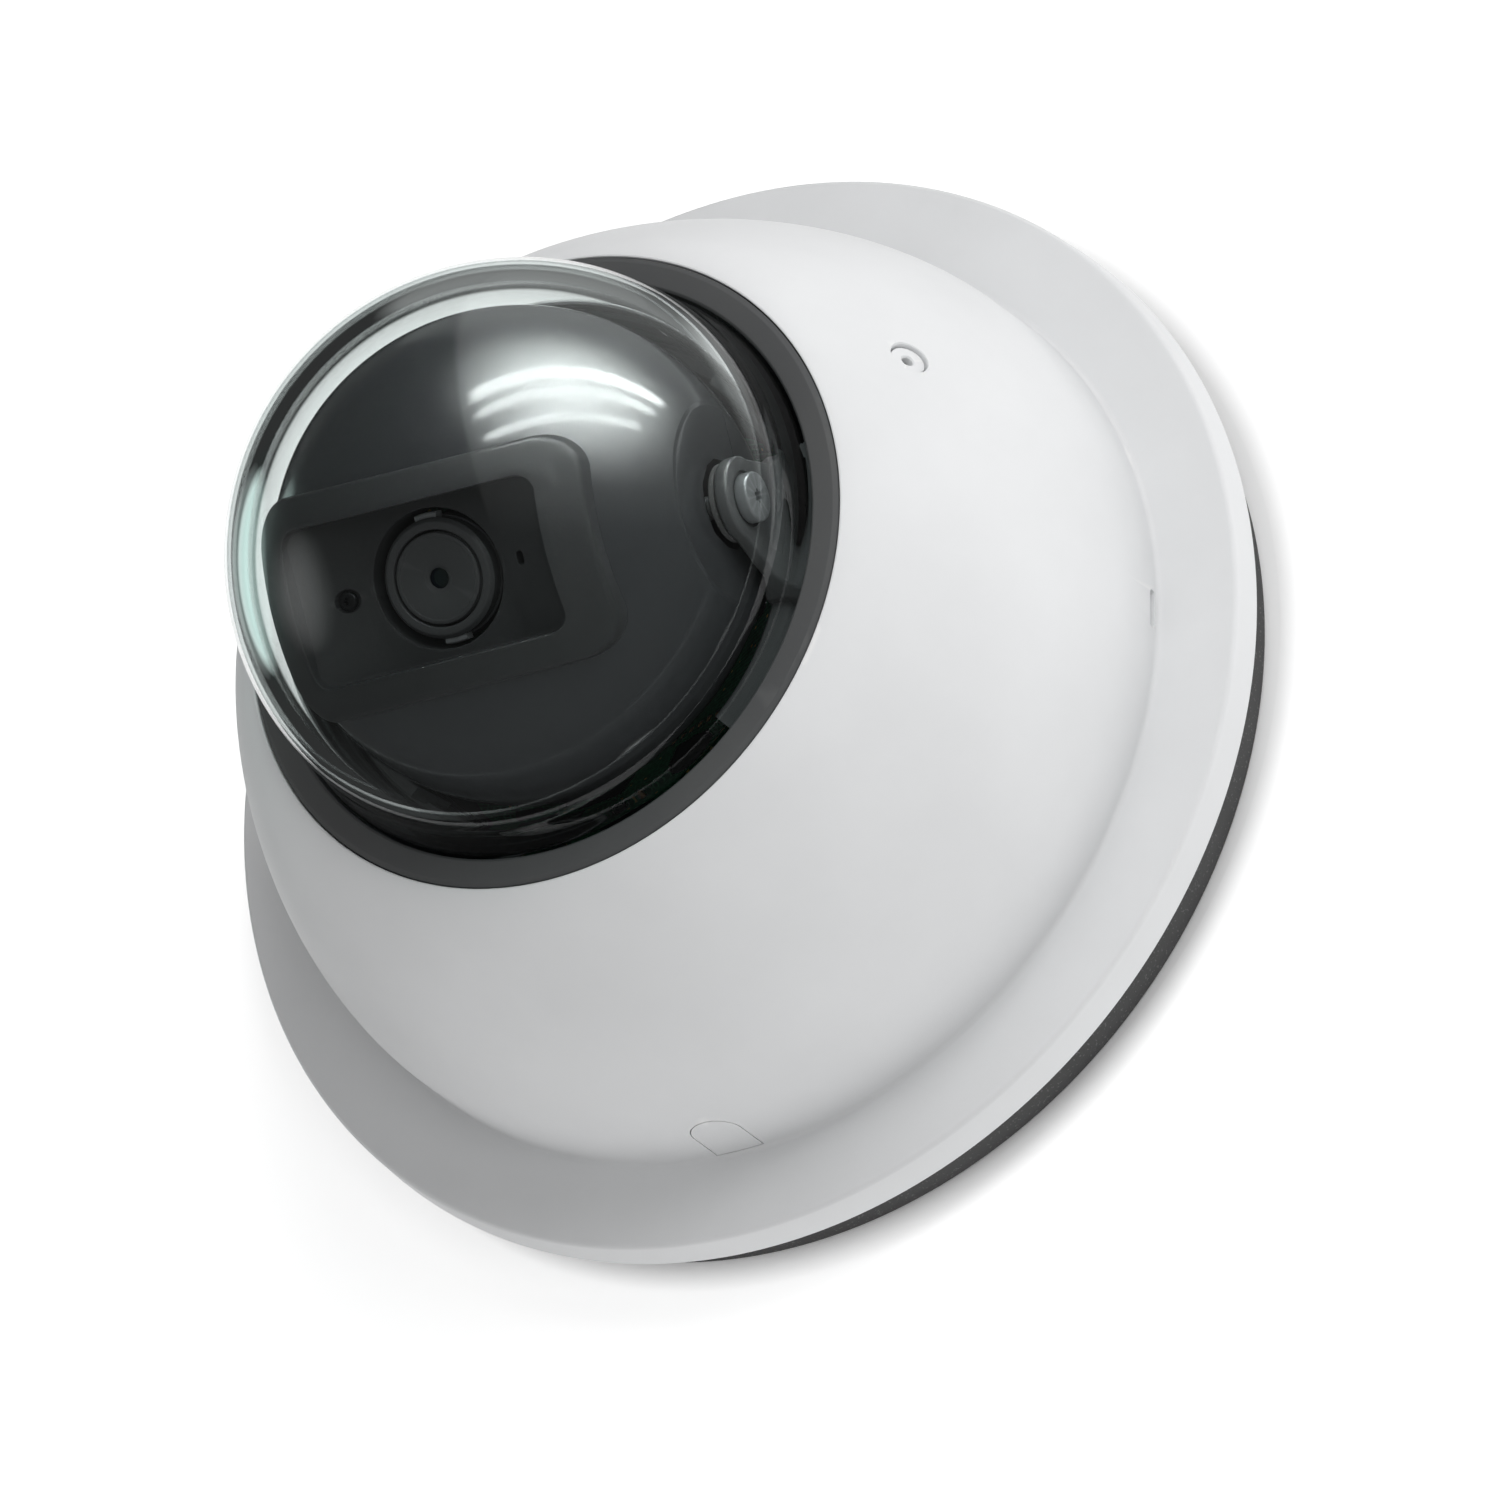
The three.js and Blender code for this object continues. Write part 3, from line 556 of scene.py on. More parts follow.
def knockout_prism(grow):
    """The arch of the knock-out, grown by a margin and run through the foot of the cover."""
    r = KNOCKOUT["half"] + grow
    foot = KNOCKOUT["bottom"] - grow
    outline = arc((0, KNOCKOUT["spring"]), r, 0, 180, 32) + [(-r, foot), (r, foot)]
    return loft([[(x, y, z) for x, z in outline] for y in (-70, -50)])


def screw_recess():
    """Round recess for a cover screw, with its edge broken where it meets the cover."""
    face = rounded([(0, -3.0), (2.7, -3.0, 0.2), (2.7, 0.0), (2.8, 0.12), (2.8, 6), (0, 6)])
    return lathe(face, 64)


def cover_shell():
    shell = new_object("cover_shell_fine", lathe(cover_outline(), 256))
    envelope = lathe([(0, 20), (BAND_R - 0.9, BAND_TOP)] + [(r - 0.6, z - 0.6) for r, z in COVER_CURVE[1:]]
                     + [(0, OPENING_Z - 0.6)], 128)
    for azimuth in COVER_SCREW["azimuths"]:
        place = cover_screw_frame(azimuth)
        boss = lathe([(0, -7.0), (4.0, -7.0), (4.0, 2.0), (0, 2.0)], 48)
        add(shell, keep(new_object("boss", moved(boss, place)), envelope))
        cut(shell, moved(screw_recess(), place))
        cut(shell, moved(lathe([(0, -20), (1.8, -20), (1.8, -1), (0, -1)], 32), place))
    outline = rounded([(a * PRY_SLOT["half"], b * PRY_SLOT["rise"], 0.5)
                       for a, b in ((-1, -1), (1, -1), (1, 1), (-1, 1))], 5)
    cut(shell, loft([[(x, y + PRY_SLOT["y"], z + PRY_SLOT["z"]) for y, z in outline]
                     for x in (BAND_R - PRY_SLOT["depth"], BAND_R + 3)]))
    cut(shell, knockout_prism(KNOCKOUT["seam"]))
    stand_in("cover_shell", shell, WHITE)


def conduit_knockout():
    wall = new_object("conduit_knockout_fine", lathe(cover_outline(), 40, sweep=(-100, -80)))
    keep(wall, knockout_prism(-KNOCKOUT["seam"]))
    stand_in("conduit_knockout", wall, WHITE)


def trim_ring():
    outline = rounded([(40.4, 59.6), (44.2, 59.6), (44.2, 63.42, 0.2), (43.5, 63.78, 0.5),
                       (40.75, 64.1, 0.3), (40.4, 63.8, 0.1)], 4)
    stand_in("trim_ring", lathe(outline, 256), TRIM)


def dome_bubble():
    """Clear bubble: half a sphere on a short skirt, which flares into the flange that holds it."""
    inner = arc((0, BALL_Z), BUBBLE_INNER, 90, 0, 60)
    skirt = bend((40.1, 63.9), (39.8, 65.6), (39.3, 67.3), (BUBBLE_R, BALL_Z), 16)
    flange = rounded([(BUBBLE_INNER, 62.0), (BUBBLE_INNER, 57.6, 0.3), (46.0, 57.6, 0.2), (46.0, 59.3, 0.2),
                      (40.1, 59.3, 0.4), (40.1, 63.9)], 4)
    outer = arc((0, BALL_Z), BUBBLE_R, 0, 90, 60)
    inner[0], outer[-1] = (0, inner[0][1]), (0, outer[-1][1])
    bubble = stand_in("dome_bubble", lathe(inner + flange + skirt[1:] + outer[1:], 256), DOME, sharp=60)
    bubble.visible_diffuse = False
    return bubble


def torx_star(outer, inner, low, high):
    """Six-lobed recess, as a prism."""
    outline = [polar((outer + inner) / 2 + (outer - inner) / 2 * math.cos(math.radians(6 * a)), a)
               for a in range(0, 360, 6)]
    return prism(outline, low, high)


def machine_screw(head_r, bottom, top, shank_r, tip, recess_r, edge=0.3):
    """Screw along Z with a round head, rounded edges, a star recess and a threaded shank."""
    pitch = max(0.35, shank_r * 0.35)
    thread = []
    z = tip + 0.3
    while z + pitch < bottom - 0.4:
        thread += [(shank_r * 0.84, z), (shank_r, z + pitch / 2)]
        z += pitch
    outline = [(0, tip), (shank_r * 0.75, tip)] + thread + [(shank_r * 0.84, bottom)]
    outline += rounded([(shank_r, bottom), (head_r, bottom, edge * 0.6), (head_r, top, edge), (0, top)], 4)
    screw = new_object("screw", lathe(outline, 48))
    cut(screw, torx_star(recess_r, recess_r * 0.66, top - (top - bottom) * 0.55, top + 1))
    return screw


def cover_screws():
    """White-headed captive screws, each with a small round hole in the middle of its face."""
    screw = rounded([(0, -8.6), (1.3, -8.6), (1.5, -8.2), (1.5, -2.7), (2.45, -2.7, 0.1), (2.45, -0.4, 0.2),
                     (0.98, -0.4, 0.12), (0.8, -0.65), (0.8, -2.0), (0, -2.1)], 5)
    clip = rounded([(1.8, -8.0, 0.15), (2.9, -8.0, 0.15), (2.9, -7.3, 0.15), (1.8, -7.3, 0.15)], 3)
    core = rounded([(0, -2.25), (0.76, -2.25), (0.76, -1.5, 0.1), (0, -1.5)], 3)
    for side, azimuth in zip(("right", "left"), COVER_SCREW["azimuths"]):
        place = cover_screw_frame(azimuth)
        stand_in("cover_screw_" + side, moved(lathe(screw, 64), place), WHITE)
        stand_in("screw_clip_" + side, moved(lathe(clip, 40), place), STEEL)
        extra("cover_screw_core_" + side, moved(lathe(core, 32), place), "cover", TRIM)


# ------------------------------------------------------------------ wall gasket and base plate


def wall_gasket():
    """Rubber gasket: a flat ring with a raised wall round its outer edge."""
    outline = rounded([(60, 0, 0.3), (72, 0, 0.5), (72, 7.0, 0.35), (69.3, 7.0, 0.2), (69.3, 1.5),
                       (60, 1.5, 0.3)], 4)
    stand_in("wall_gasket", lathe(outline, 256), RUBBER)


# ------------------------------------------------------------------ camera ball


def ball_half(front):
    """One moulded shell of the ball: a sphere with flat sides, split across the optical axis."""
    rim = math.sqrt(BALL_R ** 2 - BALL_FLAT_X ** 2)
    edge = math.degrees(math.atan2(rim, BALL_FLAT_X))
    outside = arc((0, 0), BALL_R, 90 - edge - 0.5, -90 + edge + 0.5, 160)
    profile = [(0, BALL_FLAT_X), (rim - 0.35, BALL_FLAT_X)] + outside + [(rim - 0.35, -BALL_FLAT_X),
                                                                         (0, -BALL_FLAT_X)]
    shell = new_object("ball", moved(lathe(profile, 256), ALONG_X))
    cut(shell, lathe(arc((0, 0), BALL_R - BALL_WALL, 89.99, -89.99, 40), 64))
    low, high = (SPLIT + 0.05, 50) if front else (-50, SPLIT - 0.05)
    keep(shell, block(100, 100, low, high))
    if front:
        cut(shell, prism(rounded_rectangle(40.4, 24.8, 4.4), 10, 50))
    else:
        fan = [(0, 0)] + [(-y, z) for y, z in arc((0, 0), 50, -98, -11, 6)]
        cut(shell, loft([[(x, y, z) for y, z in fan] for x in (-6.5, 6.5)]))
    smooth_sphere(shell)
    return shell


def rounded_rectangle(width, height, corner, corner_steps=12, side_steps=14):
    """Outline of a rounded rectangle, with the same number of points whatever its size."""
    w, h = width / 2 - corner, height / 2 - corner
    centres = [(w, h, 0), (-w, h, 90), (-w, -h, 180), (w, -h, 270)]
    points = []
    for i, (x, y, start) in enumerate(centres):
        turn = arc((x, y), corner, start, start + 90, corner_steps)
        nx, ny, begin = centres[(i + 1) % 4]
        following = arc((nx, ny), corner, begin, begin + 90, 1)[0]
        side = [tuple(np.array(turn[-1]) * (1 - t) + np.array(following) * t)
                for t in np.linspace(0, 1, side_steps + 1)[1:-1]]
        points += turn + side
    return points


def smooth_sphere(obj):
    """Gives faces on the ball's outside the sphere's own normals, so that reflections run true."""
    data = obj.data
    data.shade_smooth()
    normals = []
    for face in data.polygons:
        outward = face.center.normalized()
        on_ball = abs(face.center.length / MM - BALL_R) < 0.05 and face.normal.dot(outward) > 0.98
        for index in face.loop_indices:
            point = data.vertices[data.loops[index].vertex_index].co
            normals.append(point.normalized() if on_ball else face.normal.copy())
    data.normals_split_custom_set(normals)


def ball():
    for node, front in (("ball_front", True), ("ball_rear", False)):
        shell = placed(ball_half(front), HEAD, node + "_fine")
        shell.data.materials.clear()
        shell.data.materials.append(BALL)
        take_place(node, shell)


# ------------------------------------------------------------------ bezel and tray
BEZEL = {"width": 46.8, "height": 29.2, "corner": 6.0}
WINDOW = {"width": 36.4, "height": 20.6, "corner": 2.5, "edge": 27.6, "floor": 24.8, "flat": 9.6}
BEZEL_BACK = {"width": 39.6, "height": 24.0, "corner": 4.0, "z": 20.5, "r": 33.0}
WELL_R = 9.2


def on_sphere(points, r):
    return [(x, y, math.sqrt(r * r - x * x - y * y)) for x, y in points]


def tray_height(x):
    """Height of the tray's floor: level in the middle, rising to both ends with a soft crease."""
    slope = (WINDOW["edge"] - WINDOW["floor"]) / (WINDOW["width"] / 2 - WINDOW["flat"])
    soft = 0.35
    past = abs(x) - WINDOW["flat"]
    return WINDOW["floor"] + slope * soft * math.log1p(math.exp(min(past / soft, 60)))


def inset(shape, by):
    return rounded_rectangle(shape["width"] - 2 * by, shape["height"] - 2 * by,
                             max(shape["corner"] - by, 0.2))


def bezel_rings():
    """Rings of the bezel: up its outer wall, over its face, into the window, down the lens well."""
    edge = 0.55
    rings = [on_sphere(inset(BEZEL, 0.7), 33.0), on_sphere(inset(BEZEL, 0), 33.05),
             on_sphere(inset(BEZEL, 0), BEZEL_R - edge)]
    for angle in (22, 45, 68, 90):
        u, v = polar(edge, angle)
        rings.append(on_sphere(inset(BEZEL, edge - u), BEZEL_R - edge + v))
    outer = np.array(inset(BEZEL, edge))
    lip = 0.3
    grown = dict(WINDOW, width=WINDOW["width"] + 2 * lip, height=WINDOW["height"] + 2 * lip,
                 corner=WINDOW["corner"] + lip)
    inner = np.array(inset(grown, 0))
    for t in np.linspace(0, 1, 6)[1:]:
        rings.append(on_sphere(outer * (1 - t) + inner * t, BEZEL_R))
    for angle in (60, 30, 0):
        u, v = polar(lip, angle)
        rings.append(on_sphere(inset(WINDOW, -lip + u), BEZEL_R - lip + v))
    window = inset(WINDOW, 0)
    rings.append([(x, y, tray_height(x) + 0.25) for x, y in window])
    rings.append([(x, y, tray_height(x) + 0.07) for x, y in inset(WINDOW, 0.07)])
    floor = np.array(inset(WINDOW, 0.25))
    angles = np.arctan2(floor[:, 1], floor[:, 0])
    well = np.stack([np.cos(angles), np.sin(angles)], 1)
    for t in np.linspace(0, 1, 15):
        ring = floor * (1 - t) + well * (WELL_R + 0.2) * t
        rings.append([(x, y, tray_height(x)) for x, y in ring])
    rings.append([(x, y, WINDOW["floor"] - 0.06) for x, y in well * (WELL_R + 0.06)])
    rings.append([(x, y, WINDOW["floor"] - 0.2) for x, y in well * WELL_R])
    for r, z in ((WELL_R, 18.0), (WELL_R + 1.5, 18.0), (WELL_R + 1.5, BEZEL_BACK["z"])):
        rings.append([(x, y, z) for x, y in well * r])
    back = inset(BEZEL_BACK, 0)
    rings.append([(x, y, BEZEL_BACK["z"]) for x, y in back])
    rings.append(on_sphere(back, BEZEL_BACK["r"]))
    return rings


def lens_bezel():
    bezel = new_object("lens_bezel_fine", loft(bezel_rings(), closed=True))
    hole = rounded([(0, 25.15), (1.5, 25.15, 0.15), (1.5, 25.75), (1.75, 26.3), (1.75, 40), (0, 40)])
    cut(bezel, moved(lathe(hole, 40), to(-BEZEL_HOLE_X)))
    oblong = rounded([(-0.55, -0.95, 0.5), (0.55, -0.95, 0.5), (0.55, 0.95, 0.5), (-0.55, 0.95, 0.5)], 6)
    cut(bezel, moved(prism(oblong, 23.0, 40), to(BEZEL_HOLE_X)))
    post = lathe(rounded([(0, 5.6), (1.9, 5.6, 0.2), (1.9, 21.0), (0, 21.0)]), 32)
    add(bezel, joined(moved(post, to(-SENSOR_POST_X)), moved(post, to(SENSOR_POST_X))))
    stand_in_head("lens_bezel", bezel, BLACK)
    screw = machine_screw(1.2, 25.3, 26.2, 0.6, 21.9, 0.55, edge=0.25)
    stand_in("bezel_screw", placed(screw, HEAD @ to(-BEZEL_HOLE_X), "bezel_screw_fine"), DARK_STEEL)


# ------------------------------------------------------------------ lens


def lens():
    ring_outline = rounded([(6.3, 18.8, 0.2), (8.0, 18.8, 0.3), (8.0, 22.2, 0.12), (7.75, 22.4, 0.1),
                            (7.75, 24.1, 0.1), (7.9, 24.3, 0.15), (7.35, 24.9, 0.35), (6.3, 24.9, 0.25)], 5)
    stand_in_head("focus_ring", lathe(ring_outline, 128), LENS_BLACK)
    curve = rounded([(7.75, 22.4, 0.1), (8.6, 22.4, 0.2), (8.6, 24.1, 0.35), (7.75, 24.1, 0.1)], 4)
    for name, sign in (("upper", 1), ("lower", -1)):
        tab = lathe(curve, 16, sweep=(sign * 90 - 11, sign * 90 + 11))
        extra("focus_tab_" + name, moved(tab, HEAD), "lens", ZINC)
    barrel = rounded([(5.0, 9.5, 0.1), (6.0, 9.5, 0.2), (6.0, 24.1, 0.2), (5.0, 24.1, 0.1)], 3)
    stand_in_head("lens_barrel", lathe(barrel, 96), LENS_BLACK)
    mask = [(1.35, 24.35, 0.05), (5.95, 24.4, 0.05), (5.95, 24.93, 0.16), (5.5, 25.0, 0.05),
            (5.3, 24.9, 0.05), (2.2, 24.86), (1.55, 24.66), (1.35, 24.5)]
    stand_in_head("lens_mask", lathe(rounded(mask, 3), 96), LENS_BLACK)
    front = [(0, 19.5), (4.7, 19.5), (4.7, 22.4)] + arc((0, 12.4), 11.6, 66, 90, 24)
    front[-1] = (0, front[-1][1])
    stand_in_head("front_lens", lathe(front, 96), LENS_GLASS)
    rear = [(0, 11.0)] + bend((2.0, 11.05), (3.2, 11.15), (4.0, 11.25), (4.7, 11.4), 4)
    rear += bend((4.7, 13.2), (4.0, 13.35), (3.2, 13.5), (2.0, 13.55), 4) + [(0, 13.6)]
    stand_in_head("rear_lens", lathe(rear, 64), LENS_GLASS)


# ------------------------------------------------------------------ pan yoke
EAR_R = 5.6


def ear_plate():
    """The plate of one arm: an ear round the tilt axis, above a foot that thickens outwards."""
    z = BALL_Z
    side = arc((0, z), EAR_R, 0, 180, 28) + [(-7.6, z - 6.0), (-10.5, z - 9.5), (-10.5, 50.0), (10.5, 50.0),
                                             (10.5, z - 9.5), (7.6, z - 6.0)]
    plate = new_object("ear", loft([[(x, y, h) for y, h in side] for x in (31.3, 40.0)]))
    section = [(31.0, 50.0), (35.7, 50.0), (35.7, z - 9.5), (35.2, z - 8.8), (33.4, z - 6.4),
               (33.0, z - 5.5), (33.0, 90), (31.0, 90)]
    keep(plate, loft([[(x, y, h) for x, h in section] for y in (-20, 20)]))
    bevelled(plate, 0.35, 35)
    counterbore = moved(lathe([(0, 32.5), (3.7, 32.5), (3.7, 40), (0, 40)], 48), ALONG_X)
    return cut(plate, moved(counterbore, to(z=z)))


def pan_yoke():
    z_top = 58.5
    ring = rounded([(34.9, 43.8, 0.3), (41.8, 43.8, 0.3), (41.8, 46.6, 0.3), (37.4, 46.6, 0.4),
                    (37.4, 54.5, 0.4), (34.9, 54.5, 0.3)], 3)
    yoke = new_object("yoke", lathe(ring, 128))
    wall = rounded([(33.3, 50.0), (35.7, 50.0), (35.7, z_top, 0.5), (33.3, z_top, 0.5)], 4)
    for turn in (0, 180):
        add(yoke, moved(lathe(wall, 48, sweep=(-47, 47)), spun(turn)))
        add(yoke, placed(ear_plate(), spun(turn), "ear"))
    yoke.name = "pan_yoke_fine"
    stand_in("pan_yoke", yoke, YOKE)
    for side, turn in (("right", 0), ("left", 180)):
        place = spun(turn) @ to(z=BALL_Z) @ ALONG_X
        screw = machine_screw(3.25, 32.8, 34.4, 1.6, 24.8, 1.0, edge=0.35)
        stand_in("tilt_screw_" + side, placed(screw, place, "tilt_screw_" + side + "_fine"), ZINC)
        washer = rounded([(2.3, 30.3, 0.1), (5.2, 30.3, 0.1), (5.2, 31.0, 0.1), (2.3, 31.0, 0.1)], 3)
        stand_in("tilt_washer_" + side, moved(lathe(washer, 48), HEAD @ spun(turn) @ ALONG_X), RUBBER)


# ------------------------------------------------------------------ base, chassis and seals


def base_plate():
    """Plate with a raised rim, keyholes for the wall screws, ribs and posts for the board."""
    outline = rounded([(11.0, 1.8, 0.2), (69.0, 1.8, 0.3), (69.0, 6.9, 0.3), (66.0, 6.9, 0.3),
                       (66.0, 4.8, 0.4), (11.0, 4.8, 0.2)], 4)
    plate = new_object("plate", lathe(outline, 160))
    for angle in BOARD_SCREW_ANGLES:
        add(plate, moved(disc(3.0, 4.0, BOARD_BOTTOM - 0.3), at(BOARD_SCREW_R, angle)))
        drill(plate, 1.5, 8, 20, at(BOARD_SCREW_R, angle))
    for angle in LEG_ANGLES:
        drill(plate, 1.9, 3.0, 9, at(LEG_R, angle), steps=32)
        drill(plate, 3.4, 0, 3.6, at(LEG_R, angle), steps=40)
    for angle in KEYHOLE_ANGLES:
        slot = rounded([(51.7, 0), (56.3, 0), (56.3, 9.3, 2.25), (51.7, 9.3, 2.25)], 8)
        cut(plate, moved(prism(slot, 0, 8), spun(angle)))
        drill(plate, 4.5, 0, 8, at(KEYHOLE_R, angle), steps=40)
        add(plate, moved(hoop(5.3, 6.1, 4.5, 5.3, 0.15, 48), at(KEYHOLE_R, angle)))
    for angle in range(15, 360, 30):
        add(plate, moved(block(13.0, 1.2, 4.5, 6.0), spun(angle) @ to(34.0)))
    bevelled(plate, 0.15, 50, 2)
    stand_in("base_plate", plate, BLACK)


def seals():
    grommet = [(3.5, 0.3, 0.3), (13.2, 0.3, 0.4), (13.2, 1.5, 0.3), (10.7, 1.5, 0.1), (10.7, 5.1, 0.1),
               (13.2, 5.1, 0.3), (13.2, 6.6, 0.5), (9.5, 7.0, 0.3), (9.0, 6.4, 0.3), (6.5, 6.4, 0.3),
               (6.0, 7.0, 0.3), (3.5, 7.0, 0.3)]
    stand_in("cable_grommet", lathe(rounded(grommet, 3), 96), RUBBER)
    for node, inner, outer, edge, steps, material in (
            ("cover_seal", BAND_INNER - 0.2, 63.4, 0.8, 192, RUBBER),
            ("bubble_seal", 46.3, 47.3, 0.12, 160, RUBBER),
            ("bubble_retainer", 38.6, 48.3, 0.2, 160, BLACK)):
        low, high = box_mm(node)
        stand_in(node, hoop(inner, outer, low.z, high.z, edge, steps), material)


def chassis():
    """Frame that stands on three legs and carries the pan ring, with the ring that keeps it down."""
    outline = rounded([(34.5, 40.5, 0.3), (44.5, 40.5, 0.4), (44.5, 49.0, 0.3), (42.2, 49.0, 0.3),
                       (42.2, 43.5, 0.3), (34.5, 43.5, 0.3)], 4)
    body = new_object("chassis", lathe(outline, 128))
    for angle in LEG_ANGLES:
        add(body, moved(disc(3.6, 5.1, 49.0, 0.3), at(LEG_R, angle)))
        add(body, moved(block(7.0, 1.6, 30.0, 41.5, -3.5), at(LEG_R, angle) @ spun(angle)))
        drill(body, 1.3, 43, 60, at(LEG_R, angle))
    for azimuth in COVER_SCREW["azimuths"]:
        pad = new_object("pad", moved(disc(3.0, -14, -8.9), cover_screw_frame(azimuth)))
        add(body, keep(pad, lathe([(42.6, 30), (60, 30), (60, 60), (42.6, 60)], 96)))
    stand_in("chassis_frame", body, BLACK)
    outline = rounded([(37.8, 46.9, 0.2), (41.8, 46.9, 0.2), (41.8, 49.3), (44.4, 49.3, 0.2),
                       (44.4, 51.0, 0.4), (37.8, 51.0, 0.3)], 4)
    keeper = new_object("keeper", lathe(outline, 128))
    for angle in LEG_ANGLES:
        add(keeper, moved(disc(3.6, 49.3, 51.0, 0.3), at(LEG_R, angle)))
        drill(keeper, 1.3, 40, 60, at(LEG_R, angle))
    for angle in range(0, 360, 20):
        cut(keeper, moved(block(3.2, 1.6, 50.5, 52), at(41.0, angle) @ spun(angle)))
    stand_in("pan_retainer", keeper, BLACK)


def set_of_screws(prefix, places, *size):
    for index, place in enumerate(places):
        node = "%s_%d" % (prefix, index + 1)
        stand_in(node, placed(machine_screw(*size), place, node + "_fine"), STEEL)


def small_screws():
    upside_down = spun(180, "X")
    over_board = [to(z=ON_BOARD) @ at(BOARD_SCREW_R, a) for a in BOARD_SCREW_ANGLES]
    set_of_screws("board_screw", over_board, 2.5, 0, 1.7, 1.2, -5.2, 1.1)
    under_legs = [at(LEG_R, a) @ upside_down for a in LEG_ANGLES]
    set_of_screws("chassis_screw", under_legs, 3.0, -3.3, -2.1, 1.5, -14, 1.3)
    set_of_screws("retainer_screw", [at(LEG_R, a) for a in LEG_ANGLES], 2.1, 51.3, 52.6, 1.0, 44.0, 0.9)
    in_ball = [HEAD @ to(x) @ upside_down for x in (-SENSOR_POST_X, SENSOR_POST_X)]
    set_of_screws("sensor_screw", in_ball, 1.9, -3.7, -2.3, 0.9, -10, 0.8)


# ------------------------------------------------------------------ circuit board and its parts
# Parts of the board that have no CAD node: the place of each, its size across and its height.
CHIPS = [(12.0, 11.0, 7.0, 1.0), (-15.0, -18.0, 9.0, 1.2), (3.0, -17.0, 7.0, 1.0), (-25.0, 22.5, 5.0, 0.9),
         (22.0, 10.0, 5.0, 0.9), (-8.0, -30.0, 5.0, 1.0)]
CANS = [(-21.0, -28.0, 3.1, 6.0), (10.5, -31.0, 2.5, 5.0), (27.5, -1.5, 1.9, 4.2)]
COILS = [(-29.0, -16.5, 6.0, 3.2), (17.0, -30.5, 5.0, 2.8)]
# Rows of small capacitors: the place of the first, how many, and whether the row runs up the board.
CAPACITOR_ROWS = [(-13.0, 29.5, 10, False), (-13.0, 8.5, 9, True), (10.5, 20.0, 6, True),
                  (-3.0, -10.5, 7, False), (-6.0, -24.5, 7, False), (27.5, 9.0, 5, True)]
PROCESSOR = (-2, 17)                              # centres of the larger parts, on the board
SWITCH = (15, 27)


def soldered(name, meshes, material, edge=0.06):
    """A set of like parts on the board, shown as one piece."""
    parts = new_object(name, joined(*meshes))
    extra(name, bevelled(parts, edge, 40, 2), "base", material)


def main_board():
    outline = [(0, BOARD_BOTTOM), (BOARD_R, BOARD_BOTTOM), (BOARD_R, BOARD_TOP), (0, BOARD_TOP)]
    board = new_object("board", lathe(outline, 128))
    for angle in BOARD_SCREW_ANGLES:
        drill(board, 1.6, 10, 16, at(BOARD_SCREW_R, angle), 0.05, 32)
    for angle in LEG_ANGLES:
        drill(board, 1.8, 10, 16, at(42.0, angle), 0.05, 32)
    stand_in("main_board", bevelled(board, 0.1, 50, 1), BOARD)


def chips():
    """Small chips with their legs, and the gold pads under the board's screws."""
    top = BOARD_TOP
    pad = hoop(1.75, 3.2, top, top + 0.06, 0.01, 40)
    soldered("board_pads", [moved(pad, at(BOARD_SCREW_R, a)) for a in BOARD_SCREW_ANGLES],
             GOLD, 0.01)
    legs = []
    for x, y, side, height in CHIPS:
        for k in np.arange(-side / 2 + 0.7, side / 2 - 0.5, 0.8):
            legs.append(block(side + 1.2, 0.36, top, top + 0.3, x, y + k))
            legs.append(block(0.36, side + 1.2, top, top + 0.3, x + k, y))
    soldered("board_chip_legs", legs, STEEL, 0.02)
    bodies = [block(side, side, top + 0.12, top + 0.12 + height, x, y) for x, y, side, height in CHIPS]
    soldered("board_chips", bodies, CHIP)


def capacitors():
    """Rows of small capacitors with soldered ends, tall capacitor cans, and coils."""
    top = BOARD_TOP
    bodies, ends = [], []
    for start_x, start_y, count, upward in CAPACITOR_ROWS:
        for i in range(count):
            if upward:
                x, y = start_x, start_y + 2.0 * i
                bodies.append(block(1.7, 0.9, top, top + 0.8, x, y))
                ends += [block(0.36, 0.96, top, top + 0.84, x + off, y) for off in (-0.72, 0.72)]
            else:
                x, y = start_x + 2.2 * i, start_y
                bodies.append(block(0.9, 1.7, top, top + 0.8, x, y))
                ends += [block(0.96, 0.36, top, top + 0.84, x, y + off) for off in (-0.72, 0.72)]
    soldered("board_capacitors", bodies, CERAMIC)
    soldered("board_capacitor_ends", ends, STEEL, 0.03)
    cans = []
    for x, y, r, height in CANS:
        lid = top + height - 0.1
        can = rounded([(0, top + 0.5), (r, top + 0.5, 0.2), (r, top + 1.3), (r - 0.18, top + 1.5),
                       (r, top + 1.7), (r, top + height, 0.25), (r - 0.4, lid), (0, lid)], 3)
        cans.append(moved(lathe(can, 48), to(x, y)))
    extra("board_cans", joined(*cans), "base", ALUMINIUM)
    feet = [block(2 * r + 0.4, 2 * r + 0.4, top, top + 0.6, x, y) for x, y, r, height in CANS]
    feet += [block(side, side, top, top + height, x, y) for x, y, side, height in COILS]
    soldered("board_coils", feet, CHIP, 0.4)


def image_processor():
    """The large chip, its thermal pad and its finned heat sink."""
    top = ON_BOARD
    x, y = PROCESSOR
    chip = soft_block("chip", 0.2, 2, 16, 16, top, top + 1.6, x, y)
    drill(chip, 0.7, top + 1.5, top + 2, to(x - 6.3, y + 6.3), 0.05)
    stand_in("image_processor", chip, CHIP)
    stand_in("thermal_pad", soft_block("pad", 0.18, 2, 15, 15, top + 1.9, top + 2.4, x, y), PAD)
    sink = new_object("sink", block(18, 18, top + 2.7, top + 4.7, x, y))
    for index in range(5):
        add(sink, block(1.4, 18, top + 4.5, top + 10.7, x - 8.3 + index * 4.15, y))
    stand_in("heat_sink", bevelled(sink, 0.25, 40, 3), ALUMINIUM)


